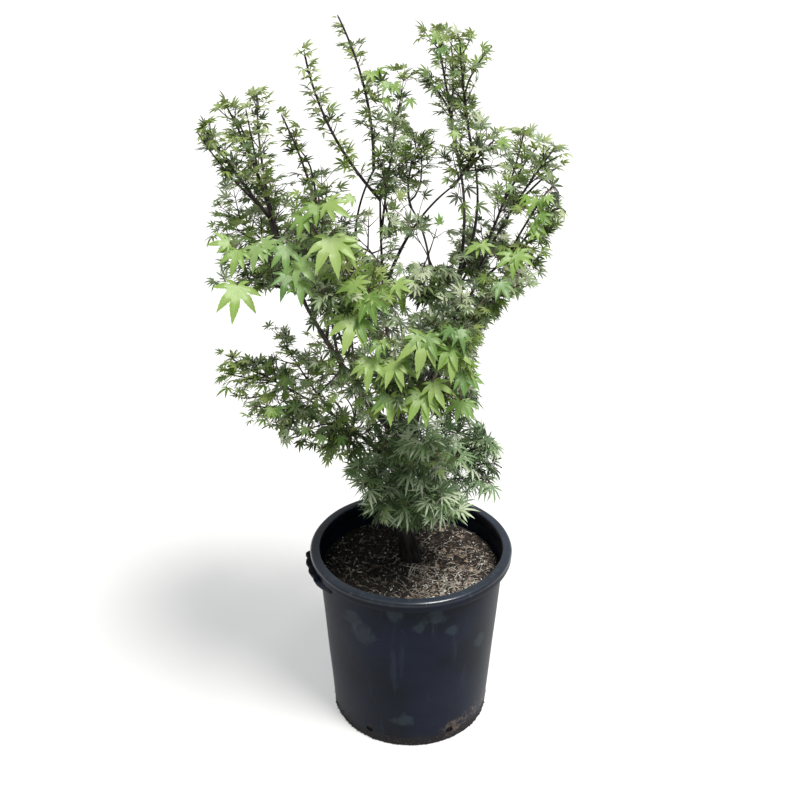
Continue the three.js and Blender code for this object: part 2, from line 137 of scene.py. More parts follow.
LIMBS = {
    "trunk": LimbPlan("", 0.0, (-20, 0, 670), (-15, 0, 15), (16.5, 12), foot=(2, 15, 360.3)),
    "right_bough": LimbPlan("trunk", 0.88, (80, 60, 1235), (60, 20, 40), (8.5, 3.2)),
    "left_bough": LimbPlan("trunk", 0.95, (-265, -20, 1140), (-35, -20, 20), (7.5, 3.6)),
    "leader": LimbPlan("trunk", 1.0, (-60, 20, 1160), (-10, 0, 0), (7, 2.8)),
    "back_bough": LimbPlan("trunk", 0.78, (-5, 150, 1105), (55, 70, 45), (7, 3)),
    "back_left_bough": LimbPlan("trunk", 0.66, (-190, 200, 930), (-15, 20, 15), (6.5, 3)),
    "lower_left_bough": LimbPlan("trunk", 0.72, (-225, -70, 800), (5, -15, 20), (6, 3)),
    "front_bough": LimbPlan("trunk", 0.8, (20, -170, 895), (10, -10, -15), (5.5, 2.8)),
    "inner_left_bough": LimbPlan("leader", 0.28, (-70, 90, 1195), (-55, 20, 15), (5, 2.8)),
    "diagonal_bough": LimbPlan("leader", 0.62, (70, -60, 1200), (-10, 0, 20), (4, 2.6)),
    "right_twin_bough": LimbPlan("right_bough", 0.6, (105, -20, 1255), (20, -20, 5), (4.4, 2.6)),
    "far_right_bough": LimbPlan("right_bough", 0.2, (135, -60, 1100), (-5, -35, -40), (6, 3)),
    "back_right_bough": LimbPlan("back_bough", 0.33, (125, 225, 880), (0, 20, -45), (5, 2.8)),
    "front_left_bough": LimbPlan("left_bough", 0.22, (-110, -180, 1000), (-5, -20, -25), (5, 2.8)),
}

MASSES = {
    "far_left_shoots": MassPlan("left_bough", 1.0, (-340, -90, 1275), 78, Habit.SHOOTS),
    "left_top_shoots": MassPlan("left_bough", 0.88, (-310, 10, 1295), 72, Habit.SHOOTS),
    "left_inner_shoots": MassPlan("left_bough", 0.76, (-280, 100, 1300), 72, Habit.SHOOTS),
    "left_spire": MassPlan("left_bough", 0.5, (-215, -55, 1295), 66, Habit.WHIP),
    "left_dark_spray": MassPlan("left_bough", 0.82, (-335, 50, 1110), 105, Habit.SHADE),
    "left_bright_spray": MassPlan("left_bough", 0.7, (-305, -100, 1035), 128, Habit.BRIGHT),
    "left_back_spray": MassPlan("left_bough", 0.64, (-280, 135, 1105), 110, Habit.OPEN),
    "upper_bright_spray": MassPlan("left_bough", 0.6, (-165, -130, 1155), 112, Habit.BRIGHT),
    "left_middle_spray": MassPlan("left_bough", 0.42, (-170, 60, 1150), 104, Habit.OPEN),
    "tall_spire": MassPlan("inner_left_bough", 1.0, (-120, 65, 1435), 60, Habit.WHIP),
    "centre_left_spire": MassPlan("leader", 1.0, (-165, -50, 1380), 66, Habit.WHIP),
    "centre_top_spray": MassPlan("leader", 0.84, (-25, 35, 1320), 96, Habit.OPEN),
    "centre_left_spray": MassPlan("leader", 0.7, (-85, -60, 1090), 104, Habit.OPEN),
    "centre_right_spray": MassPlan("back_bough", 1.0, (15, 165, 1225), 90, Habit.OPEN),
    "right_spire": MassPlan("right_bough", 1.0, (55, 75, 1410), 82, Habit.SHOOTS),
    "right_twin_spire": MassPlan("right_twin_bough", 1.0, (115, -35, 1395), 80, Habit.SHOOTS),
    "right_dark_spray": MassPlan("diagonal_bough", 1.0, (105, -90, 1275), 100, Habit.OPEN),
    "far_right_spire": MassPlan("far_right_bough", 1.0, (190, 20, 1245), 76, Habit.SHOOTS),
    "far_right_outer_spray": MassPlan("far_right_bough", 0.88, (230, -70, 1240), 80, Habit.SHOOTS),
    "right_bright_spray": MassPlan("far_right_bough", 0.76, (230, -130, 1140), 108, Habit.BRIGHT),
    "right_low_bright_spray": MassPlan("far_right_bough", 0.55, (165, -145, 1035), 108, Habit.BRIGHT),
    "right_back_spray": MassPlan("right_bough", 0.55, (170, 110, 1080), 104, Habit.DENSE),
    "middle_dense_spray": MassPlan("right_bough", 0.46, (20, -75, 1090), 118, Habit.DENSE),
    "middle_front_spray": MassPlan("right_bough", 0.26, (80, -125, 990), 110, Habit.DENSE),
    "middle_right_spray": MassPlan("far_right_bough", 0.4, (125, 0, 905), 100, Habit.DENSE),
    "middle_bright_spray": MassPlan("front_left_bough", 1.0, (-115, -215, 1070), 125, Habit.BRIGHT),
    "front_right_bright_spray": MassPlan("front_bough", 1.0, (55, -220, 965), 125, Habit.BRIGHT),
    "front_left_bright_spray": MassPlan("front_bough", 0.7, (-55, -225, 925), 125, Habit.BRIGHT),
    "right_low_spray": MassPlan("right_bough", 0.16, (70, -20, 780), 98, Habit.BRIGHT),
    "low_left_far_spray": MassPlan("lower_left_bough", 1.0, (-305, -65, 850), 106, Habit.SHADE),
    "low_left_upper_spray": MassPlan("lower_left_bough", 0.7, (-255, 30, 865), 92, Habit.SHADE),
    "low_left_near_spray": MassPlan("lower_left_bough", 0.82, (-250, -140, 795), 104, Habit.SHADE),
    "low_left_under_spray": MassPlan("lower_left_bough", 0.5, (-150, -115, 740), 98, Habit.SHADE),
    "foot_left_spray": MassPlan("trunk", 0.38, (-60, -85, 600), 108, Habit.FOOT),
    "foot_right_spray": MassPlan("trunk", 0.52, (110, -30, 645), 108, Habit.FOOT),
    "foot_front_spray": MassPlan("trunk", 0.28, (40, -115, 585), 104, Habit.FOOT),
    "low_front_spray": MassPlan("trunk", 0.6, (10, -140, 725), 124, Habit.FOOT),
    "foot_back_spray": MassPlan("trunk", 0.46, (-25, 135, 600), 118, Habit.FOOT),
    "back_left_spray": MassPlan("back_left_bough", 1.0, (-250, 225, 970), 118, Habit.OPEN),
    "back_middle_spray": MassPlan("back_left_bough", 0.62, (-85, 245, 875), 118, Habit.DENSE),
    "back_right_spray": MassPlan("back_right_bough", 1.0, (165, 245, 945), 116, Habit.DENSE),
    "back_low_right_spray": MassPlan("back_bough", 0.3, (75, 180, 705), 112, Habit.SHADE),
    "back_low_left_spray": MassPlan("back_left_bough", 0.4, (-195, 150, 760), 108, Habit.SHADE),
}
MASS_NAMES = list(MASSES)


# Vectors and seeded numbers


def unit(vectors: Array) -> Array:
    """Vectors scaled to a length of one, along the last axis."""
    return vectors / np.maximum(np.linalg.norm(vectors, axis=-1, keepdims=True), 1e-12)


def column(values: Array) -> Array:
    """Numbers with one more axis at the end, to scale vectors with."""
    return np.asarray(values, float)[..., None]


def level_way(angle: Array) -> Array:
    """X and Y of the level directions at angles in radians."""
    return np.stack([np.cos(angle), np.sin(angle)], -1)


def across(direction: Array, turn: Array) -> Array:
    """Directions square to others: a level one, turned round them by an angle in radians.

    Args:
        direction: Unit vectors, (n, 3).
        turn: One angle for each.

    Returns:
        Unit vectors, (n, 3).
    """
    upright_sine = 0.2
    level = np.cross(direction, UP)
    upright = np.linalg.norm(level, axis=-1, keepdims=True) < upright_sine
    level = unit(np.where(upright, np.cross(direction, RIGHT), level))
    other = np.cross(level, direction)
    return level * column(np.cos(turn)) + other * column(np.sin(turn))


def branching(direction: Array, turn: Array, spread: Array | float) -> Array:
    """Directions that leave others by a spread in degrees, on the side given by turn."""
    angle = np.radians(spread) * np.ones(len(direction))
    return across(direction, turn) * column(np.sin(angle)) + direction * column(np.cos(angle))


def seeded_numbers(seed: int) -> Iterator[float]:
    """Numbers from 0 to 1, the same ones that the solids' twigs are grown with."""
    mask = 0xFFFFFFFF
    state = seed
    while True:
        state = (state + 0x6D2B79F5) & mask
        value = ((state ^ (state >> 15)) * (1 | state)) & mask
        value = ((value + ((value ^ (value >> 7)) * (61 | value) & mask)) & mask) ^ value
        yield ((value ^ (value >> 14)) & mask) / 2**32


def mixed(low: float, high: float, share: float | Array) -> float | Array:
    """A value on the way from low to high."""
    return low + (high - low) * share


def ripples(places: Array, wavelength: float, seed: int, waves: int = 10) -> Array:
    """Smooth seeded bumps from about -1 to 1: a sum of sine waves that run all ways.

    Args:
        places: Points, (..., dimensions).
        wavelength: Mean length of the waves.
        seed: Which bumps.
        waves: How many waves are summed.

    Returns:
        One number for each point.
    """
    random = np.random.default_rng(seed)
    ways = unit(random.normal(size=(waves, places.shape[-1])))
    pitch = 2 * np.pi / (wavelength * random.uniform(0.7, 1.5, waves))
    phase = random.uniform(0, 2 * np.pi, waves)
    return np.sin(places @ (ways * column(pitch)).T + phase).sum(-1) / math.sqrt(waves)


@dataclass(frozen=True)
class Bend:
    """A quadratic curve that is read by its length: its start, control point and end."""

    start: Array
    control: Array
    end: Array
    chords: int = 200

    def plain(self, t: Array) -> Array:
        """Points at the curve's own parameter: the squares' blend of its three points."""
        t = column(t)
        return (1 - t) ** 2 * self.start + 2 * t * (1 - t) * self.control + t**2 * self.end

    @cached_property
    def lengths(self) -> Array:
        """Length of the curve up to each chord's end."""
        points = self.plain(np.linspace(0, 1, self.chords + 1))
        steps = np.linalg.norm(np.diff(points, axis=0), axis=1)
        return np.concatenate([[0.0], np.cumsum(steps)])

    def parameter(self, shares: Array) -> Array:
        """The curve's own parameter at shares of its length."""
        target = np.asarray(shares, float) * self.lengths[-1]
        return np.interp(target, self.lengths, np.linspace(0, 1, self.chords + 1))

    def at(self, shares: Array) -> Array:
        """Points at shares of the curve's length."""
        return self.plain(self.parameter(shares))

    def heading(self, shares: Array) -> Array:
        """Unit tangents at shares of the curve's length."""
        t = column(self.parameter(shares))
        return unit((1 - t) * (self.control - self.start) + t * (self.end - self.control))

    def side(self) -> Array:
        """A unit vector square to the curve's plane."""
        normal = np.cross(self.control - self.start, self.end - self.control)
        if np.linalg.norm(normal) < 1e-9:
            normal = np.cross(self.end - self.start, RIGHT)
        return unit(normal)


def plant_bends() -> dict[str, Bend]:
    """The curves of all limbs and stems, worked out as in the solids.

    Returns:
        Curves in metres by name, limbs first. A limb's middle stands off its chord by its bow,
        and a stem leaves along its limb and turns to its tip.
    """
    stem_lead, stem_follow, tip_follow, tip_start = 0.45, 0.25, 2.0, 0.985
    bends = {}
    for name, plan in LIMBS.items():
        start = bends[plan.parent].at(plan.at) if plan.parent else np.array(plan.foot) * MM
        end = np.array(plan.tip) * MM
        control = (start + end) / 2 + 2 * MM * np.array(plan.bow)
        bends[name] = Bend(start, control, end)
    for name, plan in MASSES.items():
        limb = bends[plan.limb]
        start = limb.at(min(plan.at, tip_start))
        end = np.array(plan.tip) * MM
        follow = tip_follow if plan.at == 1 else stem_follow
        lead = unit(unit(end - start) + follow * limb.heading(plan.at))
        bends[name] = Bend(start, start + lead * stem_lead * np.linalg.norm(end - start), end)
    return bends


@dataclass(frozen=True)
class PotPlan:
    """Sizes of the pot and its filling, in metres. The outer ones come from the solids."""

    height: float
    rim_radius: float
    soil_level: float
    wall_top_radius: float = 0.1975
    base_radius: float = 0.17
    wall: float = 0.003
    floor: float = 0.004
    edge: float = 0.004
    rim_drop: float = 0.023
    rim_sheet: float = 0.0026
    rim_tuck: float = 0.001
    rim_round: float = 0.008

    @classmethod
    def from_frame(cls) -> "PotPlan":
        """The plan with its height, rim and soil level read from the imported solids."""
        lowest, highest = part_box("pot")
        return cls(highest.z - lowest.z, highest.x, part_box("soil")[1].z)

    @property
    def rim_foot(self) -> float:
        """Height of the foot of the skirt that hangs from the rim."""
        return self.height - self.rim_drop

    def wall_radius(self, height: float | Array) -> float | Array:
        """Radius of the wall's outside at a height: it widens evenly from the base."""
        return mixed(self.base_radius, self.wall_top_radius, height / self.rim_foot)


class Spaces:
    """The room of each mass: a point belongs to the stem that is nearest, in that mass's reach."""

    clearance = 0.003  # from leaves and twigs to a limb, the soil and the pot
    skirt_level = 0.44  # the foliage rises from here at the trunk, as a cone
    skirt_rise = 0.75
    samples = 12  # chords that stand for a curve
    ahead = 0.68  # how far a space runs on past its stem, as a share of the reach
    batch = 1500  # points measured at a time

    def __init__(self, bends: dict[str, Bend], pot: PotPlan) -> None:
        """Cut every limb and stem into chords.

        Args:
            bends: The curves of limbs and stems.
            pot: The pot, which nothing grows into.
        """
        self.pot = pot
        lines = []
        for name, bend in bends.items():
            line = bend.at(np.linspace(0, 1, self.samples + 1))
            if name in MASSES:
                onward = bend.heading(1.0) * self.ahead * MASSES[name].reach * MM
                line = np.vstack([line, line[-1] + onward])
            lines.append(line)
        self.starts = np.concatenate([line[:-1] for line in lines])
        self.steps = np.concatenate([np.diff(line, axis=0) for line in lines])
        self.squares = (self.steps**2).sum(1)
        self.firsts = np.cumsum([0] + [len(line) - 1 for line in lines[:-1]])
        self.limbs = len(LIMBS)
        self.thickness = np.array([plan.radius[0] * MM for plan in LIMBS.values()])
        self.reach = np.array([plan.reach * MM for plan in MASSES.values()])

    def distances(self, points: Array) -> Array:
        """Distance of each point to each curve, (points, curves)."""
        found = []
        for first in range(0, len(points), self.batch):
            offset = points[first : first + self.batch, None] - self.starts
            share = np.clip((offset * self.steps).sum(2) / self.squares, 0, 1)
            offset -= share[..., None] * self.steps
            chords = np.sqrt((offset**2).sum(2))
            found.append(np.minimum.reduceat(chords, self.firsts, axis=1))
        return np.concatenate(found) if found else np.zeros((0, len(self.firsts)))

    def above_pot(self, points: Array) -> Array:
        """Whether points are clear of the pot and its filling."""
        inside = self.pot.wall_top_radius - self.pot.wall - self.clearance
        radius = np.hypot(points[:, 0], points[:, 1])
        level = np.where(radius < inside, self.pot.soil_level, self.pot.height) + self.clearance
        return points[:, 2] > level

    def above_skirt(self, points: Array) -> Array:
        """Whether points lie above the cone under the foliage, which leaves the mix open to view."""
        radius = np.hypot(points[:, 0], points[:, 1])
        return points[:, 2] > self.skirt_level + self.skirt_rise * radius

    def belongs(self, points: Array, mass: Array, margin: float = 0.03) -> Array:
        """Whether each point lies in the space of its own mass.

        Args:
            points: Points, (n, 3).
            mass: The mass of each, as its place in the plan.
            margin: Least difference to the next mass, as a share of the reach.

        Returns:
            True for each point that does, and is clear of all limbs.
        """
        distance = self.distances(points)
        clear = (distance[:, : self.limbs] >= self.thickness + self.clearance).all(1)
        share = distance[:, self.limbs :] / self.reach
        rows = np.arange(len(points))
        own = share[rows, mass].copy()
        share[rows, mass] = np.inf
        return self.above_pot(points) & clear & (own <= 1) & (share.min(1) >= own + margin)


# Surfaces and pieces


@dataclass
class Surface:
    """Points with the quads and triangles between them, and marks: a number at each point."""

    points: Array
    quads: Array = field(default_factory=lambda: np.zeros((0, 4), int))
    triangles: Array = field(default_factory=lambda: np.zeros((0, 3), int))
    marks: dict[str, Array] = field(default_factory=dict)

    @staticmethod
    def joined(parts: list["Surface"]) -> "Surface":
        """Several surfaces as one. They carry the same marks."""
        shifts = np.cumsum([0] + [len(part.points) for part in parts[:-1]])
        marks = {key: np.concatenate([part.marks[key] for part in parts]) for key in parts[0].marks}
        return Surface(
            np.concatenate([part.points for part in parts]),
            np.concatenate([part.quads + shift for part, shift in zip(parts, shifts)]),
            np.concatenate([part.triangles + shift for part, shift in zip(parts, shifts)]),
            marks,
        )

    @property
    def triangle_count(self) -> int:
        """How many triangles the surface has once its quads are halved."""
        return 2 * len(self.quads) + len(self.triangles)

    def mesh(self, name: str, smooth: bool = True) -> bpy.types.Mesh:
        """The surface as a Blender mesh with its marks as point attributes.

        Args:
            name: The mesh's name.
            smooth: Whether its faces are shaded smooth.

        Returns:
            The new mesh.
        """
        mesh = bpy.data.meshes.new(name)
        corners = np.concatenate([self.quads.ravel(), self.triangles.ravel()])
        ends_of_quads = 4 * len(self.quads)
        starts = np.concatenate(
            [np.arange(0, ends_of_quads, 4), ends_of_quads + 3 * np.arange(len(self.triangles))]
        )
        mesh.vertices.add(len(self.points))
        mesh.vertices.foreach_set("co", self.points.astype(np.float32).ravel())
        mesh.loops.add(len(corners))
        mesh.loops.foreach_set("vertex_index", corners.astype(np.int32))
        mesh.polygons.add(len(starts))
        mesh.polygons.foreach_set("loop_start", starts.astype(np.int32))
        mesh.polygons.foreach_set("use_smooth", np.full(len(starts), smooth))
        for key, values in self.marks.items():
            mark = mesh.attributes.new(key, "FLOAT", "POINT")
            mark.data.foreach_set("value", values.astype(np.float32))
        mesh.update(calc_edges=True)
        mesh.validate()
        return mesh


def linked(name: str, data: bpy.types.ID) -> bpy.types.Object:
    """A new object in the scene, made of its data."""
    made = bpy.data.objects.new(name, data)
    bpy.context.scene.collection.objects.link(made)
    return made


def placed(
    name: str, surface: Surface, material: bpy.types.Material, slot: str, nodes: list[str],
    smooth: bool = True,
) -> bpy.types.Object:
    """Put a surface into the scene as a finished piece that rides with the plant.

    Args:
        name: The piece's name.
        surface: Its shape.
        material: Its finish.
        slot: Not used.
        nodes: The solids that it stands for.
        smooth: Whether its faces are shaded smooth.

    Returns:
        The piece.
    """
    piece = linked(name, surface.mesh(name, smooth))
    piece.data.materials.append(material)
    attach(piece, BODY)
    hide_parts(*nodes)
    log.info("%s: %d triangles", name, surface.triangle_count)
    return piece


def woven(rows: int, columns: int) -> Array:
    """Quads of a grid of points, row by row, whose columns run round and close.

    Args:
        rows: Points one way.
        columns: Points the other way.

    Returns:
        Corners, (quads, 4), turned so that a tube along its rows faces outwards.
    """
    row = np.arange(rows - 1)[:, None] * columns
    this = row + np.arange(columns)
    after = row + (np.arange(columns) + 1) % columns
    return np.stack([this, after, after + columns, this + columns], -1).reshape(-1, 4)


def tubes(paths: Array, radii: Array, sides: int) -> Surface:
    """Closed round tubes along many paths: rings square to each path, with a cap at each end.

    Args:
        paths: Points along each path, (tubes, steps, 3).
        radii: The radius at each point, (tubes, steps).
        sides: Corners of a ring.

    Returns:
        One surface of all tubes.
    """
    count, steps, _ = paths.shape
    heading = unit(np.gradient(paths, axis=1))
    guide = across(unit(paths[:, -1] - paths[:, 0]), np.zeros(count))[:, None]
    normal = unit(guide - (guide * heading).sum(2, keepdims=True) * heading)
    other = np.cross(heading, normal)
    angle = 2 * np.pi * np.arange(sides) / sides
    ring = normal[:, :, None] * column(np.cos(angle)) + other[:, :, None] * column(np.sin(angle))
    points = paths[:, :, None] + ring * radii[:, :, None, None]
    stride = steps * sides
    first = np.arange(count)[:, None] * stride
    quads = (woven(steps, sides)[None] + first[:, None]).reshape(-1, 4)
    corner = np.arange(sides)
    following = (corner + 1) % sides
    centres = count * stride + 2 * np.arange(count)[:, None]
    foot = np.stack([centres + 0 * corner, first + following, first + corner], -1)
    last = first + stride - sides
    top = np.stack([centres + 1 + 0 * corner, last + corner, last + following], -1)
    caps = np.stack([paths[:, 0], paths[:, -1]], 1).reshape(-1, 3)
    triangles = np.concatenate([foot.reshape(-1, 3), top.reshape(-1, 3)])
    return Surface(np.concatenate([points.reshape(-1, 3), caps]), quads, triangles)


def capped(rings: Array, poles: Array, turned: bool = False) -> Surface:
    """Rings of points as a closed surface: quads between them, and a fan to a pole at each end.

    Args:
        rings: Points, (rings, sides, 3).
        poles: The poles of the first and the last ring, (2, 3).
        turned: Whether the faces are turned over, for rings that run the other way round.

    Returns:
        The surface.
    """
    count, sides, _ = rings.shape
    corner = np.arange(sides)
    following = (corner + 1) % sides
    pole = count * sides + 0 * corner
    last = (count - 1) * sides
    foot = np.stack([pole, following, corner], -1)
    top = np.stack([pole + 1, last + corner, last + following], -1)
    quads, triangles = woven(count, sides), np.concatenate([foot, top])
    if turned:
        quads, triangles = quads[:, ::-1], triangles[:, [0, 2, 1]]
    return Surface(np.concatenate([rings.reshape(-1, 3), poles]), quads, triangles)


def revolved(profile: Array, sides: int) -> Surface:
    """A profile turned about the Z axis.

    Args:
        profile: Radius and height, (n, 2), from the underside's middle outwards, up and back to
            the axis, so that faces point outwards.
        sides: Steps round the axis.

    Returns:
        A closed surface.
    """
    angle = 2 * np.pi * np.arange(sides) / sides
    flat = profile[1:-1, None, :1] * level_way(angle)
    height = np.broadcast_to(profile[1:-1, None, 1:], (len(flat), sides, 1))
    poles = np.array([[0, 0, profile[0, 1]], [0, 0, profile[-1, 1]]])
    return capped(np.concatenate([flat, height], -1), poles)


def uneven_lumps(middle: Array, size: Array, flat: float, random: Random) -> Surface:
    """Eight-faced bodies, each pulled about and turned about the upright.

    Args:
        middle: Their middles, (n, 3).
        size: Their half widths, (n,).
        flat: Height against width.
        random: Source of their shapes.

    Returns:
        One surface of them all, nowhere under the ground.
    """
    count = len(middle)
    ground = 0.1 * MM
    corners = np.array([[1, 0, 0], [0, 1, 0], [-1, 0, 0], [0, -1, 0], [0, 0, 1], [0, 0, -1]], float)
    faces = [(0, 1, 4), (1, 2, 4), (2, 3, 4), (3, 0, 4), (1, 0, 5), (2, 1, 5), (3, 2, 5), (0, 3, 5)]
    pulled = corners * random.uniform(0.6, 1.25, (count, 6, 1)) + random.normal(0, 0.16, (count, 6, 3))
    long = random.uniform(0.8, 1.7, (count, 1))
    turn = random.uniform(0, 2 * np.pi, (count, 1))
    x, y, z = pulled[..., 0] * long, pulled[..., 1], pulled[..., 2] * flat
    z = z + random.normal(0, 0.25, (count, 1)) * x
    spun = np.stack([x * np.cos(turn) - y * np.sin(turn), x * np.sin(turn) + y * np.cos(turn), z], -1)
    points = middle[:, None] + spun * size[:, None, None]
    points[..., 2] = np.maximum(points[..., 2], ground)
    triangles = np.array(faces)[None] + 6 * np.arange(count)[:, None, None]
    return Surface(points.reshape(-1, 3), triangles=triangles.reshape(-1, 3))


def rounded(centre: Pair, radius: float, angles: Pair, steps: int = 7) -> list:
    """Points of an arc in a profile, from one angle to another in degrees from level."""
    turn = np.radians(np.linspace(*angles, steps))
    return [(centre[0] + radius * math.cos(a), centre[1] + radius * math.sin(a)) for a in turn]


def refined(profile: list[Pair], longest: float) -> Array:
    """A profile with its long stretches cut into even steps."""
    points = np.array(profile)
    pieces = []
    for start, end in zip(points[:-1], points[1:]):
        count = max(1, math.ceil(np.linalg.norm(end - start) / longest))
        pieces.append(start + (end - start) * column(np.arange(count) / count))
    return np.concatenate(pieces + [points[-1:]])


# Shader maths


class Signal:
    """A shader socket that can be reckoned with: arithmetic on it adds Math nodes."""

    def __init__(self, recipe: "Recipe", socket: bpy.types.NodeSocket) -> None:
        """Keep the socket and the recipe that it belongs to."""
        self.recipe = recipe
        self.socket = socket

    def _math(self, operation: str, first: "Value", second: "Value") -> "Signal":
        """The outcome of one Math node."""
        return self.recipe.node("ShaderNodeMath", {"operation": operation}, {0: first, 1: second})

    def __add__(self, other: "Value") -> "Signal":
        """This plus another."""
        return self._math("ADD", self, other)

    def __sub__(self, other: "Value") -> "Signal":
        """This less another."""
        return self._math("SUBTRACT", self, other)

    def __rsub__(self, other: "Value") -> "Signal":
        """Another less this."""
        return self._math("SUBTRACT", other, self)

    def __mul__(self, other: "Value") -> "Signal":
        """This times another."""
        return self._math("MULTIPLY", self, other)

    __radd__ = __add__
    __rmul__ = __mul__

    def rising(self, low: float, high: float) -> "Signal":
        """0 below low, 1 above high, and a smooth step between. It falls if low is the higher."""
        inputs = {"Value": self, "From Min": low, "From Max": high, "To Min": 0.0, "To Max": 1.0}
        return self.recipe.node("ShaderNodeMapRange", {"interpolation_type": "SMOOTHSTEP"}, inputs)


Value = Signal | float
Colour = tuple[float, float, float, float]


def colour(hexadecimal: str) -> Colour:
    """A screen colour as linear light: the standard curve for each channel."""
    channels = [int(hexadecimal[place : place + 2], 16) / 255 for place in (1, 3, 5)]
    linear = [c / 12.92 if c <= 0.04045 else ((c + 0.055) / 1.055) ** 2.4 for c in channels]
    return (*linear, 1.0)


class Recipe:
    """A material that is being made from nodes."""

    def __init__(self, name: str) -> None:
        """Start an empty material of that name."""
        self.material = bpy.data.materials.new(name)
        self.material.use_nodes = True
        self.tree = self.material.node_tree
        self.tree.nodes.clear()
        self.place = self.node("ShaderNodeTexCoord", output="Object")

    @staticmethod
    def _socket(sockets: bpy.types.bpy_prop_collection, key: int | str) -> bpy.types.NodeSocket:
        """A socket by its number, identifier or name."""
        if isinstance(key, int):
            return sockets[key]
        return next((s for s in sockets if s.identifier == key), None) or sockets[key]

    def node(
        self, kind: str, settings: dict | None = None, inputs: dict | None = None, output: int | str = 0
    ) -> Signal:
        """Add a node.

        Args:
            kind: The node's type.
            settings: Its own settings, set first.
            inputs: A value, a signal or a screen colour such as '#9fc060' for each socket.
            output: Which output is wanted.

        Returns:
            That output.
        """
        made = self.tree.nodes.new(kind)
        for key, value in (settings or {}).items():
            setattr(made, key, value)
        for key, value in (inputs or {}).items():
            socket = self._socket(made.inputs, key)
            if isinstance(value, Signal):
                self.tree.links.new(value.socket, socket)
            else:
                socket.default_value = colour(value) if isinstance(value, str) else value
        return Signal(self, self._socket(made.outputs, output))

    def stretched(self, *scale: float) -> Signal:
        """Coordinates scaled differently each way."""
        return self.node("ShaderNodeMapping", inputs={"Vector": self.place, "Scale": scale})

    def noise(self, scale: float, detail: float, rough: float = 0.55, place: Signal | None = None) -> Signal:
        """Cloudy noise from 0 to 1."""
        inputs = {"Vector": place or self.place, "Scale": scale, "Detail": detail, "Roughness": rough}
        return self.node("ShaderNodeTexNoise", inputs=inputs)

    def cells(self, scale: float) -> Signal:
        """Distance from the middle of a cell, in a pattern of cells."""
        return self.node("ShaderNodeTexVoronoi", {}, {"Vector": self.place, "Scale": scale}, "Distance")

    def mark(self, name: str) -> Signal:
        """A number that the mesh carries at its points."""
        return self.node("ShaderNodeAttribute", {"attribute_name": name}, output="Fac")

    def along(self, axis: str) -> Signal:
        """How far along an axis a point lies, in metres."""
        return self.node("ShaderNodeSeparateXYZ", inputs={0: self.place}, output=axis)

    def patch(self, point: Array, size: float, torn: Signal) -> Signal:
        """1 within a size of a point and 0 outside, with an edge that is torn by a noise."""
        tear, outer, inner = 3.0 * size, 1.15 * size, 0.45 * size
        inputs = {0: self.place, 1: tuple(point)}
        distance = self.node("ShaderNodeVectorMath", {"operation": "DISTANCE"}, inputs, "Value")
        return (distance + (torn - 0.5) * tear).rising(outer, inner)

    def tint(self, share: Value, low: Signal | str, high: Signal | str) -> Signal:
        """A colour on the way from low to high."""
        inputs = {"Factor_Float": share, "A_Color": low, "B_Color": high}
        return self.node("ShaderNodeMix", {"data_type": "RGBA"}, inputs, "Result_Color")

    def bumps(self, height: Signal, strength: float, distance: float) -> Signal:
        """A normal that is bent by a height."""
        inputs = {"Height": height, "Strength": strength, "Distance": distance}
        return self.node("ShaderNodeBump", inputs=inputs)

    def dressed(self, base: Signal, roughness: Signal, normal: Signal, more: dict | None = None) -> Signal:
        """The main shader, with its colour, roughness, normal and any more inputs."""
        inputs = {"Base Color": base, "Roughness": roughness, "Normal": normal} | (more or {})
        return self.node("ShaderNodeBsdfPrincipled", inputs=inputs)

    def done(self, shader: Signal) -> bpy.types.Material:
        """Join the shader to the output and give the finished material."""
        output = self.tree.nodes.new("ShaderNodeOutputMaterial")
        self.tree.links.new(shader.socket, output.inputs["Surface"])
        return self.material


# Finishes


@dataclass(frozen=True)
class LeafFinish:
    """A leaf's colours: painted shade, plain, painted highlight, its ribs, and the light that shines
    through.
    """

    name: str
    deep: str
    blade: str
    pale: str
    rib: str
    shine_through: str
    roughness: float = 0.42
    translucency: float = 0.22

    def material(self) -> bpy.types.Material:
        """The leaf's material: each leaf has its own tone, from painted shade to painted highlight, clouds
        fleck it, its midribs are paler.
        """
        recipe = Recipe(self.name)
        tone = recipe.mark("tone") + recipe.noise(30.0, 3.0) * 0.5 - 0.25
        # painted shade and painted highlight, dealt out by each leaf's tone and the clouds
        blade = recipe.tint(tone.rising(0.5, 0.0), self.blade, self.deep)
        blade = recipe.tint(tone.rising(0.5, 1.0), blade, self.pale)
        blade = recipe.tint(recipe.mark("rib").rising(0.82, 1.0) * 0.5, blade, self.rib)
        grain = recipe.noise(420.0, 2.0)
        roughness = grain * 0.18 + (self.roughness - 0.09)
        leaf = recipe.dressed(blade, roughness, recipe.bumps(grain, 0.25, 0.0006))
        through = recipe.node("ShaderNodeBsdfTranslucent", inputs={"Color": self.shine_through})
        inputs = {0: self.translucency, 1: leaf, 2: through}
        return recipe.done(recipe.node("ShaderNodeMixShader", inputs=inputs))


@dataclass(frozen=True)
class BarkFinish:
    """Bark colours: the skin, its paler streaks, and the dark of the fissures."""

    name: str
    skin: str
    streak: str
    fissure: str
    roughness: float = 0.72

    def material(self) -> bpy.types.Material:
        """Bark: long pale streaks, small corky spots and dark fissures from the relief mark."""
        recipe = Recipe(self.name)
        streaks = recipe.noise(1.0, 5.0, 0.6, recipe.stretched(110.0, 110.0, 14.0)).rising(0.45, 0.75)
        skin = recipe.tint(streaks * 0.7, self.skin, self.streak)
        spots = recipe.cells(260.0).rising(0.22, 0.1) * recipe.noise(60.0, 2.0).rising(0.5, 0.62)
        skin = recipe.tint(spots * 0.6, skin, self.streak)
        skin = recipe.tint(recipe.mark("fissure") * 0.85, skin, self.fissure)
        grain = recipe.noise(500.0, 4.0, 0.65, recipe.stretched(1.0, 1.0, 0.35))
        roughness = grain * 0.25 + (self.roughness - 0.12)
        return recipe.done(recipe.dressed(skin, roughness, recipe.bumps(grain, 0.5, 0.0012)))


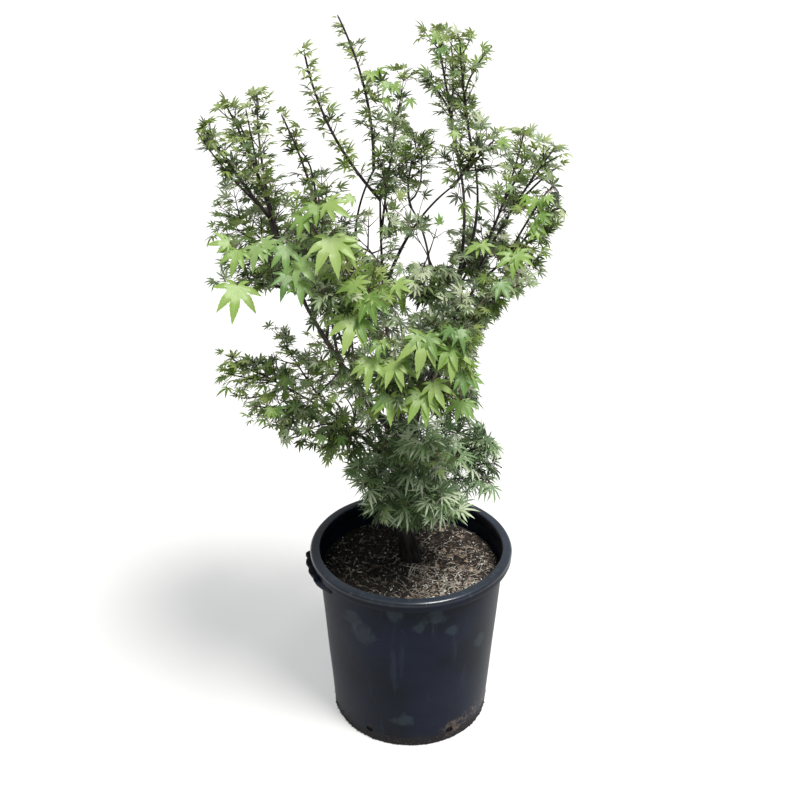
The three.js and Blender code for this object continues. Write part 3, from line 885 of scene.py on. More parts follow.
@dataclass(frozen=True)
class TwigFinish:
    """Smooth young bark: its skin and a paler bloom on it."""

    name: str
    skin: str
    bloom: str
    roughness: float = 0.5

    def material(self) -> bpy.types.Material:
        """Twig bark: the bloom lies in small patches."""
        recipe = Recipe(self.name)
        bloom = recipe.noise(75.0, 4.0, 0.6).rising(0.5, 0.72)
        skin = recipe.tint(bloom * 0.6, self.skin, self.bloom)
        grain = recipe.noise(600.0, 2.0)
        roughness = grain * 0.2 + (self.roughness - 0.1)
        return recipe.done(recipe.dressed(skin, roughness, recipe.bumps(grain, 0.3, 0.0006)))


@dataclass(frozen=True)
class PlasticFinish:
    """Weathered nursery plastic: its colours, and the places of its marks on the wall."""

    name: str
    plastic: str
    faded: str
    worn: str
    chalk: str
    dirt: str
    # pale grey of the dusting and flecks, also used for the painted highlight on the rim
    dust: str
    mud: str
    chalk_spots: tuple[tuple[Array, float], ...]
    dirt_spots: tuple[tuple[Array, float], ...]
    rim_height: float
    crease: float  # height where the rim's skirt ends, with a painted shadow line under it
    splash_height: float = 0.075
    chalk_strength: float = 0.34
    shine: float = 0.08
    rim_gloss: float = 0.9

    def _under_top(self, height: Signal, low: float, high: float) -> Signal:
        """Rises from 0 to 1 between two distances under the rim's top."""
        return height.rising(self.rim_height - low, self.rim_height - high)

    def material(self) -> bpy.types.Material:
        """Plastic: upright scuffs, chalky patches, a pale dusting and painted sheen on the rim, a painted
        highlight along its top edge, a painted shadow line under its skirt, and dirt round the foot.
        """
        recipe = Recipe(self.name)
        height = recipe.along("Z")
        wander = recipe.noise(7.0, 3.0)
        shade = recipe.tint(wander.rising(0.35, 0.7), self.plastic, self.faded)
        scuffs = recipe.noise(1.0, 6.0, 0.62, recipe.stretched(46.0, 46.0, 6.5))
        thin = recipe.noise(1.0, 3.0, 0.7, recipe.stretched(210.0, 210.0, 11.0))
        scuffed = scuffs.rising(0.55, 0.75) * 0.5 + thin.rising(0.62, 0.78) * 0.3
        shade = recipe.tint(scuffed, shade, self.worn)
        torn = recipe.noise(38.0, 5.0, 0.62)
        for point, size in self.chalk_spots:
            chalky = recipe.patch(point, size, torn) * self.chalk_strength
            shade = recipe.tint(chalky, shade, self.chalk)
        splash = recipe.noise(95.0, 6.0, 0.7)
        low = height.rising(self.splash_height, 0.0)
        soiled = (low * 0.9 + splash * 0.9).rising(0.95, 1.35) * 0.6
        shade = recipe.tint(soiled, shade, self.dirt)
        for point, size in self.dirt_spots:
            muddy = recipe.patch(point, size, torn) * splash.rising(0.46, 0.6)
            shade = recipe.tint(muddy * 0.75, shade, self.mud)
        # painted shadow: a dark line just under the foot of the rim's skirt
        below = height.rising(self.crease - 0.007, self.crease - 0.001)
        line = below * height.rising(self.crease + 0.003, self.crease)
        shade = recipe.tint(line * 0.8, shade, "#000000")
        # the rim's top paler: partly dusting and partly a painted sheen
        rim_dust_and_sheen = self._under_top(height, 0.016, 0.002) * recipe.noise(70.0, 5.0, 0.7).rising(0.52, 0.8) * 0.3
        shade = recipe.tint(rim_dust_and_sheen, shade, self.dust)
        # painted highlight along the rim's top edge
        crest_highlight = self._under_top(height, 0.0045, 0.0015)
        shade = recipe.tint(crest_highlight * wander * 0.3, shade, self.dust)
        flecks = recipe.cells(90.0).rising(0.075, 0.03) * recipe.noise(13.0, 2.0).rising(0.5, 0.64)
        shade = recipe.tint(flecks * 0.75, shade, self.dust)
        grain = recipe.noise(900.0, 2.0)
        normal = recipe.bumps(grain * 0.4 + scuffs * 0.6 + wander * 1.5, 0.22, 0.0012)
        roughness = scuffed * 0.2 + soiled * 0.3 + (grain * 0.08 + 0.36)
        gloss = self._under_top(height, 0.012, 0.004) * self.rim_gloss
        more = {"Specular IOR Level": self.shine, "Coat Weight": gloss, "Coat Roughness": 0.22}
        return recipe.done(recipe.dressed(shade, roughness, normal, more))


@dataclass(frozen=True)
class EarthFinish:
    """Potting mix or what lies in it: two colours, and a third one for what is dry or pale; the darker one
    is also the painted shade laid over the left side.
    """

    name: str
    damp: str
    brown: str
    dry: str
    dryness: float = 0.35
    grain: float = 260.0
    # how strongly the painted shade darkens the mix on the left side
    damp_shade: float = 0.75
    damp_side: Pair = (0.055, -0.035)  # X where the painted shade on the left side starts, and where it is full

    def material(self) -> bpy.types.Material:
        """Crumbly matter: cells and noise of several sizes, with painted shade over the left side."""
        recipe = Recipe(self.name)
        lumps = recipe.noise(self.grain * 0.25, 6.0, 0.65)
        shade = recipe.tint(lumps.rising(0.35, 0.65), self.damp, self.brown)
        wander = recipe.noise(16.0, 4.0) * 0.12 - 0.06
        # painted shade: darker towards the left, where the plant's shadow falls on the mix
        damp = (recipe.along("X") + wander).rising(*self.damp_side) * self.damp_shade
        crumbs = recipe.cells(self.grain).rising(0.1, 0.55)
        dry = recipe.noise(self.grain * 0.7, 3.0, 0.7).rising(0.66 - 0.25 * self.dryness, 0.8)
        shade = recipe.tint(damp, recipe.tint(dry * 0.8, shade, self.dry), self.damp)
        normal = recipe.bumps(lumps + crumbs * 0.5, 0.8, 0.002)
        return recipe.done(recipe.dressed(shade, crumbs * 0.12 + 0.86, normal))


# Leaves


@dataclass
class Rows:
    """Arrays of equal length, with a row of each for one thing."""

    @classmethod
    def together(cls, parts: Sequence[Self]) -> Self:
        """Several lists as one."""
        names = cls.__dataclass_fields__
        return cls(*[np.concatenate([getattr(part, name) for part in parts]) for name in names])

    def chosen(self, which: Array) -> Self:
        """Some of the rows, by a mask or by their numbers."""
        return type(self)(*[getattr(self, name)[which] for name in self.__dataclass_fields__])


@dataclass
class Seats(Rows):
    """Where leaves sit: foot, way it points, way it faces, length of its middle lobe and curl."""

    base: Array
    pointing: Array
    facing: Array
    length: Array
    curl: Array
    mass: Array
    kind: Array  # number of the sort of leaf


@dataclass(frozen=True)
class LeafForm:
    """A hand of lobes, as shares of the middle lobe's length."""

    lobes: int
    spread: float  # degrees from the middle lobe to the last one on each side
    last_lobe: float  # length of the last lobe
    notch: float  # how far out two lobes part
    stations: tuple[Pair, ...]  # places along a lobe, and its half width there
    fold: float = 0.35  # how steeply the two halves of a lobe rise from its midrib
    droop: float = 0.25  # how far the tips hang
    wander: float = 4.0  # degrees that a lobe may stray

    @cached_property
    def template(self) -> tuple[Array, ...]:
        """A leaf's points and faces before it is laid out.

        Returns:
            For each point the lobe it belongs to (a notch lies half-way between two), how far
            out it is, how far beside the midrib, and its rib mark; then quads and triangles.
        """
        step = 2 * self.spread / (self.lobes - 1)
        outer = self.notch * math.sin(math.radians(step / 2))
        rows = [((self.lobes - 1) / 2, 0.0, 0.0, 1.0), (0, 0.8 * self.notch, -outer, 0.0)]
        rows += [(lobe + 0.5, self.notch, 0.0, 0.0) for lobe in range(self.lobes - 1)]
        rows += [(self.lobes - 1, 0.8 * self.notch, outer, 0.0)]
        quads, triangles = [], []
        for lobe in range(self.lobes):
            low, high = 1 + lobe, 2 + lobe
            rib = len(rows)
            rows.append((lobe, self.notch, 0.0, 1.0))
            triangles += [(0, low, rib), (0, rib, high)]
            for place, width in self.stations:
                first = len(rows)
                rows += [(lobe, place, -width, 0.0), (lobe, place, 0.0, 1.0), (lobe, place, width, 0.0)]
                quads += [(low, first, first + 1, rib), (rib, first + 1, first + 2, high)]
                low, rib, high = first, first + 1, first + 2
            rows.append((lobe, 1.0, 0.0, 0.6))
            triangles += [(low, len(rows) - 1, rib), (rib, len(rows) - 1, high)]
        return (*np.array(rows).T, np.array(quads), np.array(triangles))

    def laid_out(self, seats: Seats, seed: int) -> Surface:
        """Leaves on their seats.

        A point lies on its lobe's line, beside it by its width; all of it sinks with the square
        of its distance from the leaf's foot, and rises beside the midrib.

        Args:
            seats: Where the leaves sit.
            seed: Seed of their small differences.

        Returns:
            One surface of all leaves.
        """
        lobe, out, beside, rib, quads, triangles = self.template
        random = np.random.default_rng(seed)
        count = len(seats.base)
        opened = random.uniform(0.82, 1.1, (count, 1))
        stray = np.radians(self.wander) * random.normal(size=(count, self.lobes))
        angles = np.radians(np.linspace(-self.spread, self.spread, self.lobes)) * opened + stray
        share = np.abs(np.linspace(-1, 1, self.lobes))
        reach = mixed(1, self.last_lobe, share**1.3) * random.uniform(0.9, 1.08, (count, self.lobes))
        hang = random.uniform(0.5, 1.5, (count, self.lobes))
        low, high = np.floor(lobe).astype(int), np.ceil(lobe).astype(int)
        part = lobe - low
        angle, length, sink = [v[:, low] * (1 - part) + v[:, high] * part for v in (angles, reach, hang)]
        along = length * (out * np.cos(angle) - beside * np.sin(angle))
        sideways = length * (out * np.sin(angle) + beside * np.cos(angle))
        rise = self.fold * np.abs(beside) - self.droop * column(seats.curl) * sink * (along**2 + sideways**2)
        side = np.cross(seats.facing, seats.pointing)
        ways = ((along, seats.pointing), (sideways, side), (rise, seats.facing))
        offset = sum(column(amount) * way[:, None] for amount, way in ways)
        points = seats.base[:, None] + offset * seats.length[:, None, None]
        shift = np.arange(count)[:, None, None] * len(lobe)
        return Surface(
            points.reshape(-1, 3),
            (quads[None] + shift).reshape(-1, 4),
            (triangles[None] + shift).reshape(-1, 3),
            {"rib": np.tile(rib, count), "tone": np.repeat(random.random(count), len(lobe))},
        )


BROAD_STATIONS = (
    (0.47, 0.135), (0.52, 0.131), (0.57, 0.137), (0.62, 0.113), (0.67, 0.115),
    (0.73, 0.085), (0.78, 0.081), (0.84, 0.05), (0.9, 0.037), (0.96, 0.01),
)
BROAD_LEAF = LeafForm(7, 118, 0.38, 0.38, BROAD_STATIONS, fold=0.3, droop=0.3)
CUT_LEAF = LeafForm(7, 104, 0.5, 0.19, ((0.42, 0.11), (0.72, 0.08)))
SMALL_LEAF = LeafForm(5, 84, 0.62, 0.24, ((0.42, 0.17), (0.72, 0.14)))
THREAD_LEAF = LeafForm(7, 96, 0.62, 0.13, ((0.38, 0.072), (0.72, 0.06)), droop=0.4)


class LeafKind(Enum):
    """The sorts of leaf: a form, the range of its length in millimetres, its slot and its finish."""

    BRIGHT = (
        BROAD_LEAF, (62, 82), "leaf_bright",
        LeafFinish("bright_leaves", "#678a40", "#82a14e", "#9ab366", "#aabf80", "#98bc4c", 0.42, 0.26),
    )
    BRIGHT_DEEP = (
        BROAD_LEAF, (52, 74), "leaf_bright",
        LeafFinish("bright_deep_leaves", "#557c42", "#749650", "#92ae6c", "#9eb67e", "#88ab46", 0.42, 0.26),
    )
    GREEN = (
        CUT_LEAF, (19, 30), "leaf_dark",
        LeafFinish("green_leaves", "#4f6a30", "#7e984c", "#afbd78", "#aab478", "#8ca83c"),
    )
    # leaves in painted shade: a darker copy of the cut leaf
    DARK = (
        CUT_LEAF, (19, 30), "leaf_dark",
        LeafFinish("dark_leaves", "#212f1c", "#3c4d2e", "#718452", "#6a784c", "#526a2a", 0.4, 0.16),
    )
    # leaves with a painted sheen: a paler grey copy of the cut leaf, for sky reflected on their tops
    SILVER = (
        CUT_LEAF, (19, 30), "leaf_dark",
        LeafFinish("silver_leaves", "#556b48", "#90a37b", "#c4cbac", "#b9c1a2", "#8ca05c", 0.34, 0.16),
    )
    THREAD = (
        THREAD_LEAF, (27, 42), "leaf_dark",
        LeafFinish("thread_leaves", "#324c2f", "#728d62", "#c6d1b4", "#b0be9c", "#809a54", 0.36, 0.16),
    )
    YOUNG = (
        SMALL_LEAF, (14, 22), "leaf_dark",
        LeafFinish("young_leaves", "#6e8246", "#93a668", "#bac797", "#b4be8c", "#a4b65c", 0.42, 0.28),
    )

    def __init__(self, form: LeafForm, lengths: Pair, slot: str, finish: LeafFinish) -> None:
        """Keep the sort's values, and number it."""
        self.form = form
        self.lengths = lengths
        self.slot = slot
        self.finish = finish
        self.number = len(self.__class__.__members__)


@dataclass(frozen=True)
class HabitPlan:
    """How a mass is filled: its twigs, the spacing of its leaves and what it is made of."""

    stem_radius: Pair
    twig_radius: Pair
    twig_share: float  # length of twigs, against the solids' rule
    twig_spread: float  # degrees off the stem
    leader: float  # length of the shoot that carries the stem on, as a share of the reach
    fine: tuple[float, ...]  # where pairs of finer twigs start along a twig
    spurs: float  # length of the finer twigs along the stem, as a share of the stem
    spacing: float  # between pairs of leaves, in millimetres
    fill: float  # share of the leaves that are kept
    outward: float  # how far leaves face away from the trunk, beside facing up
    hang: float  # how far leaves point down
    young: float  # share of young leaves at the top of the crown
    kinds: dict[LeafKind, float]  # shares of the sorts of leaf, dealt out by spray


HABITS = {
    Habit.WHIP: HabitPlan(
        (3.2, 1.7), (1.2, 0.6), 0.45, 50, 0.08, (), 0.06, 23, 0.9, 0.3, 0.1, 0.6,
        {LeafKind.DARK: 0.34, LeafKind.GREEN: 0.36, LeafKind.SILVER: 0.3},
    ),
    Habit.SHOOTS: HabitPlan(
        (3.2, 1.6), (1.4, 0.7), 0.75, 36, 0.08, (0.5,), 0.1, 20, 0.78, 0.3, 0.1, 0.8,
        {LeafKind.DARK: 0.16, LeafKind.GREEN: 0.46, LeafKind.SILVER: 0.38},
    ),
    Habit.OPEN: HabitPlan(
        (3.2, 1.1), (1.7, 0.8), 0.95, 52, 0.5, (0.4, 0.78), 0.24, 17, 0.73, 0.3, 0.15, 0.4,
        {LeafKind.DARK: 0.26, LeafKind.GREEN: 0.38, LeafKind.SILVER: 0.36},
    ),
    Habit.DENSE: HabitPlan(
        (3.2, 1.0), (1.6, 0.7), 1.0, 58, 0.4, (0.35, 0.7), 0.24, 13, 0.95, 0.45, 0.2, 0.1,
        {LeafKind.DARK: 0.22, LeafKind.GREEN: 0.1, LeafKind.SILVER: 0.68},
    ),
    Habit.BRIGHT: HabitPlan(
        (3.2, 1.0), (1.6, 0.7), 0.9, 58, 0.3, (0.35, 0.7), 0.24, 15, 0.9, 0.45, 0.25, 0.2,
        {LeafKind.DARK: 0.34, LeafKind.GREEN: 0.36, LeafKind.SILVER: 0.3},
    ),
    Habit.FOOT: HabitPlan(
        (3.2, 1.0), (1.6, 0.7), 1.05, 58, 0.3, (0.3, 0.7), 0.24, 17, 0.9, 0.5, 0.3, 0.0,
        {LeafKind.THREAD: 0.72, LeafKind.DARK: 0.28},
    ),
    Habit.SHADE: HabitPlan(
        (3.0, 0.9), (1.6, 0.7), 1.0, 52, 0.5, (0.4, 0.75), 0.2, 19, 0.7, 0.3, 0.15, 0.15,
        {LeafKind.DARK: 0.12, LeafKind.GREEN: 0.42, LeafKind.SILVER: 0.46},
    ),
}


def by_mass(name: str) -> Array:
    """One value of the habits' plans, for each mass."""
    return np.array([getattr(HABITS[plan.habit], name) for plan in MASSES.values()])


# Patches of the photograph where sky shows through the crown: middle and half axes in pixels
OPENINGS = (
    (180, 160, 14, 80), (202, 182, 16, 32), (198, 108, 14, 12), (189, 131, 8, 14), (513, 440, 12, 14),
    (352, 22, 9, 16), (328, 30, 7, 16), (515, 226, 7, 15), (508, 186, 4, 10), (530, 188, 4, 10),
    (300, 342, 9, 9), (256, 353, 11, 5), (207, 270, 9, 11), (208, 352, 9, 14), (273, 384, 6, 6),
    (285, 361, 8, 4), (500, 214, 6, 10), (484, 208, 5, 14), (374, 243, 13, 16), (237, 338, 22, 7),
    (275, 122, 5, 22), (286, 84, 16, 20), (324, 156, 16, 9), (377, 204, 3, 12), (420, 117, 15, 14),
    (443, 131, 8, 14), (499, 92, 23, 32), (490, 20, 22, 18), (446, 212, 12, 14), (428, 249, 26, 17),
    (481, 234, 8, 6), (493, 264, 7, 12), (582, 180, 22, 30), (572, 244, 24, 26), (496, 362, 19, 42),
    (226, 318, 30, 34), (256, 342, 22, 14), (274, 306, 38, 18), (240, 328, 22, 12), (258, 452, 28, 26),
    (300, 482, 36, 28), (338, 498, 22, 24), (538, 332, 44, 44), (514, 398, 34, 46), (524, 472, 26, 44),
)


# Camera and light


@dataclass(frozen=True)
class Viewpoint:
    """The photograph's camera: where it stands, how far it looks down, and its lens."""

    x: float = -0.0232
    y: float = -1.9877
    z: float = 1.7328
    pitch: float = 26.333
    lens: float = 50.0
    sensor: float = 36.0
    frame: int = 800

    @property
    def place(self) -> Array:
        """Where the camera stands."""
        return np.array([self.x, self.y, self.z])

    @property
    def forward(self) -> Array:
        """The way it looks."""
        angle = math.radians(self.pitch)
        return np.array([0.0, math.cos(angle), -math.sin(angle)])

    @property
    def upward(self) -> Array:
        """The way that is up in its picture."""
        angle = math.radians(self.pitch)
        return np.array([0.0, math.sin(angle), math.cos(angle)])

    @property
    def focal(self) -> float:
        """Focal length in pixels."""
        return self.lens / self.sensor * self.frame

    def pixels(self, points: Array) -> Array:
        """Where points are seen in the picture, (n, 2)."""
        offset = points - self.place
        scale = self.focal / (offset @ self.forward)
        return self.frame / 2 + np.stack([offset @ RIGHT * scale, -(offset @ self.upward) * scale], -1)

    def ray(self, pixel: Pair) -> Array:
        """The way to a pixel, one unit deep."""
        right = (pixel[0] - self.frame / 2) / self.focal
        up = (self.frame / 2 - pixel[1]) / self.focal
        return self.forward + RIGHT * right + self.upward * up

    def line(self, pixel: Pair, depths: Array) -> Array:
        """The points that a pixel shows at some depths, (n, 3)."""
        return self.place + column(depths) * self.ray(pixel)

    def on_level(self, pixel: Pair, height: float) -> Array:
        """The point at a height that a pixel shows."""
        ray = self.ray(pixel)
        return self.place + ray * (height - self.z) / ray[2]

    def on_pot(self, pixel: Pair, pot: PotPlan) -> Array:
        """The point of the pot's wall that a pixel shows, found by half-millimetre steps."""
        points = self.line(pixel, np.linspace(1.2, 2.6, 2801))
        outside = np.hypot(points[:, 0], points[:, 1]) - pot.wall_radius(points[:, 2])
        return points[np.argmax(outside < 0)]

    def build(self) -> None:
        """Set up the camera."""
        data = bpy.data.cameras.new("viewpoint")
        data.lens = self.lens
        data.sensor_width = self.sensor
        camera = linked("viewpoint", data)
        camera.location = self.place
        camera.rotation_euler = (math.radians(90 - self.pitch), 0.0, 0.0)
        bpy.context.scene.camera = camera


@dataclass(frozen=True)
class Studio:
    """A pale floor under a soft key light and an even, weaker light from all round."""

    floor_half: float = 40.0
    floor_colour: str = "#bcbcbb"
    floor_glow: float = 0.45
    ambient: float = 0.32
    ambient_colour: Colour = (0.93, 0.97, 1.0, 1.0)
    key_strength: float = 4.2
    key_colour: Triple = (1.0, 0.985, 0.95)
    key_softness: float = 22.0  # degrees across
    key_from: Triple = (0.36, -0.34, 1.0)

    def build(self) -> None:
        """Lay the floor and hang the lights."""
        self._floor()
        self._key()
        self._world()
        bpy.context.scene.view_settings.view_transform = "Standard"

    def _floor(self) -> None:
        """A plain floor just under the pot."""
        half = self.floor_half
        corners = np.array([[-half, -half, 0], [half, -half, 0], [half, half, 0], [-half, half, 0]], float)
        floor = linked("floor", Surface(corners, np.array([[0, 1, 2, 3]])).mesh("floor"))
        recipe = Recipe("floor")
        inputs = {"Base Color": self.floor_colour, "Roughness": recipe.noise(6.0, 3.0) * 0.06 + 0.8}
        inputs |= {"Emission Color": "#ffffff", "Emission Strength": self.floor_glow}
        floor.data.materials.append(recipe.done(recipe.node("ShaderNodeBsdfPrincipled", {}, inputs)))

    def _key(self) -> None:
        """One soft key light from high at the front right."""
        data = bpy.data.lights.new("key", "SUN")
        data.energy = self.key_strength
        data.angle = math.radians(self.key_softness)
        data.color = self.key_colour
        key = linked("key", data)
        x, y, z = self.key_from
        key.rotation_euler = (math.atan2(math.hypot(x, y), z), 0.0, math.atan2(y, x) + math.pi / 2)

    def _world(self) -> None:
        """Even light from all round."""
        world = bpy.data.worlds.new("studio")
        world.use_nodes = True
        background = world.node_tree.nodes["Background"]
        background.inputs["Color"].default_value = self.ambient_colour
        background.inputs["Strength"].default_value = self.ambient
        bpy.context.scene.world = world


# Limbs


@dataclass(frozen=True)
class Relief:
    """How rough a bark is: fissures against the radius, and lengths in metres."""

    depth: float
    drawn_out: float  # how much longer the fissures are than wide
    width: float  # between the coarse ripples
    scars: float  # how far the rings of old leaf scars stand up
    groove: float  # and the groove in each ring
    dark: float  # how dark the groove is


@dataclass
class Limbs:
    """Trunk and boughs with the relief of their bark."""

    bends: dict[str, Bend]
    trunk_sides: int = 96
    bough_sides: int = 28
    step: float = 0.0035  # between rings along a limb
    flare_lobes: int = 5
    flare_height: float = 0.16
    flare_spread: float = 0.45
    flare_ripple: float = 0.16
    collar: float = 0.3  # how much a bough thickens where it leaves its parent
    collar_length: float = 1.4  # of the parent's radius
    slimming: float = 0.36  # how much thinner than its solid a bough's end is
    slim_from: float = 0.15  # where along a bough that starts, and over how much of it
    slim_over: float = 0.6
    node_spacing: float = 0.085  # between the old leaf scars that ring a bough
    ring_width: float = 0.0022
    groove_width: float = 0.0008
    old_relief: Relief = Relief(0.055, 9.0, 0.011, 0.0, 0.0, 0.0)
    young_relief: Relief = Relief(0.03, 14.0, 0.008, 0.11, 0.06, 0.4)
    old_bark: BarkFinish = BarkFinish("old_bark", "#1b1716", "#433c38", "#0b0908")
    bough_bark: BarkFinish = BarkFinish("bough_bark", "#271d21", "#5a4f4f", "#0f0a0c", 0.62)

    def build(self) -> None:
        """Make every limb and put it in its solid's place."""
        old, young = self.old_bark.material(), self.bough_bark.material()
        for seed, (name, plan) in enumerate(LIMBS.items()):
            material = young if plan.parent else old
            placed(name + "_bark", self.limb(name, plan, seed), material, "bark", [name])

    def limb(self, name: str, plan: LimbPlan, seed: int) -> Surface:
        """One limb: rings along its curve, whose radius carries fissures, scars and swellings.

        Args:
            name: The limb's name.
            plan: Its plan.
            seed: Seed of its bark.

        Returns:
            A closed surface with the fissure mark.
        """
        bend = self.bends[name]
        length = bend.lengths[-1]
        sides = self.bough_sides if plan.parent else self.trunk_sides
        shares = np.linspace(0, 1, max(24, round(length / self.step)))
        u, a = np.meshgrid(shares, 2 * np.pi * np.arange(sides) / sides, indexing="ij")
        radius = mixed(plan.radius[0], plan.radius[1], u) * MM
        radius, fissure = self._relief(radius, u * length, a, seed, not plan.parent)
        if plan.parent:
            hidden = mixed(*LIMBS[plan.parent].radius, plan.at) * MM
            collar = np.exp(-(((u * length - hidden) / (self.collar_length * hidden)) ** 2))
            radius *= 1 + self.collar * collar
            radius *= 1 - self.slimming * np.clip((u - self.slim_from) / self.slim_over, 0, 1)
        else:
            roots = self.flare_spread + self.flare_ripple * np.cos(self.flare_lobes * a)
            radius *= 1 + roots * np.exp(-((u / self.flare_height) ** 2))
        path, heading = bend.at(shares), bend.heading(shares)
        side = bend.side()
        ring = column(np.cos(a)) * np.cross(heading, side)[:, None] + column(np.sin(a)) * side
        points = path[:, None] + column(radius) * ring
        if not plan.parent:
            points[0, :, 2] = path[0, 2]
        tip = path[-1] + heading[-1] * plan.radius[1] * MM * 0.6
        bark = capped(points, np.stack([path[0], tip]), turned=True)
        bark.marks["fissure"] = np.concatenate([fissure.ravel(), [0.0, 0.0]])
        return bark

    def _relief(
        self, radius: Array, along: Array, angle: Array, seed: int, old: bool
    ) -> tuple[Array, Array]:
        """Bark relief on a tube.

        Long ripples, drawn out along the limb, are cut where they fall low; rings of old leaf
        scars stand up in pairs; the whole swells and thins a little.

        Args:
            radius: The plain radius.
            along: Distance from the limb's foot.
            angle: Angle round the limb.
            seed: Seed of the ripples.
            old: Whether this is old bark, with deeper fissures.

        Returns:
            The radius with the relief, and a mark that is 1 in the fissures.
        """
        bark = self.old_relief if old else self.young_relief
        round_it = level_way(angle) * column(radius)
        place = np.concatenate([round_it, column(along / bark.drawn_out)], -1)
        coarse = ripples(place, bark.width, seed + 40, 14)
        fine = ripples(place, 0.0042, seed + 90, 14)
        low = np.clip(-(coarse + 0.6 * fine) - 0.35, 0, 1.2) / 1.2
        swell = 0.035 * ripples(column(along), 0.11, seed + 140, 5)
        phase = ((along / self.node_spacing + 0.37 * seed) % 1 - 0.5) * self.node_spacing
        ring, gap = (np.exp(-((phase / width) ** 2)) for width in (self.ring_width, self.groove_width))
        rings = bark.scars * ring - bark.groove * gap
        relief = bark.depth * (0.5 * coarse + 0.35 * fine) - 2.2 * bark.depth * low + swell + rings
        return radius * (1 + relief), np.clip(1.3 * low + bark.dark * gap, 0, 1)


# Crown


@dataclass
class Shoots(Rows):
    """Many shoots as quadratic curves: three points each, radii at both ends, and their mass."""

    start: Array
    control: Array
    end: Array
    radius: Array
    mass: Array
    spray: Array  # number of the spray that a shoot belongs to
    level: Array  # 0 for stems, 1 for twigs, 2 for finer twigs, 3 for leaf stalks

    def at(self, share: Array) -> Array:
        """A point on each shoot, at its own share."""
        t = column(share)
        return (1 - t) ** 2 * self.start + 2 * t * (1 - t) * self.control + t**2 * self.end

    def heading(self, share: Array) -> Array:
        """A unit tangent of each shoot, at its own share."""
        t = column(share)
        return unit((1 - t) * (self.control - self.start) + t * (self.end - self.control))

    @property
    def length(self) -> Array:
        """Length of each shoot: the mean of its chord and its two legs."""
        sides = (self.control - self.start, self.end - self.control, self.end - self.start)
        return sum(np.linalg.norm(side, axis=1) for side in sides) / 2

    def paths(self, steps: int) -> Array:
        """Points along every shoot, (shoots, steps, 3)."""
        count = len(self.start)
        return np.stack([self.at(np.full(count, share)) for share in np.linspace(0, 1, steps)], 1)

    def tubes(self, steps: int, sides: int) -> Surface:
        """The shoots as tapering tubes."""
        taper = (self.radius[:, 1:] - self.radius[:, :1]) * np.linspace(0, 1, steps)
        return tubes(self.paths(steps), self.radius[:, :1] + taper, sides)


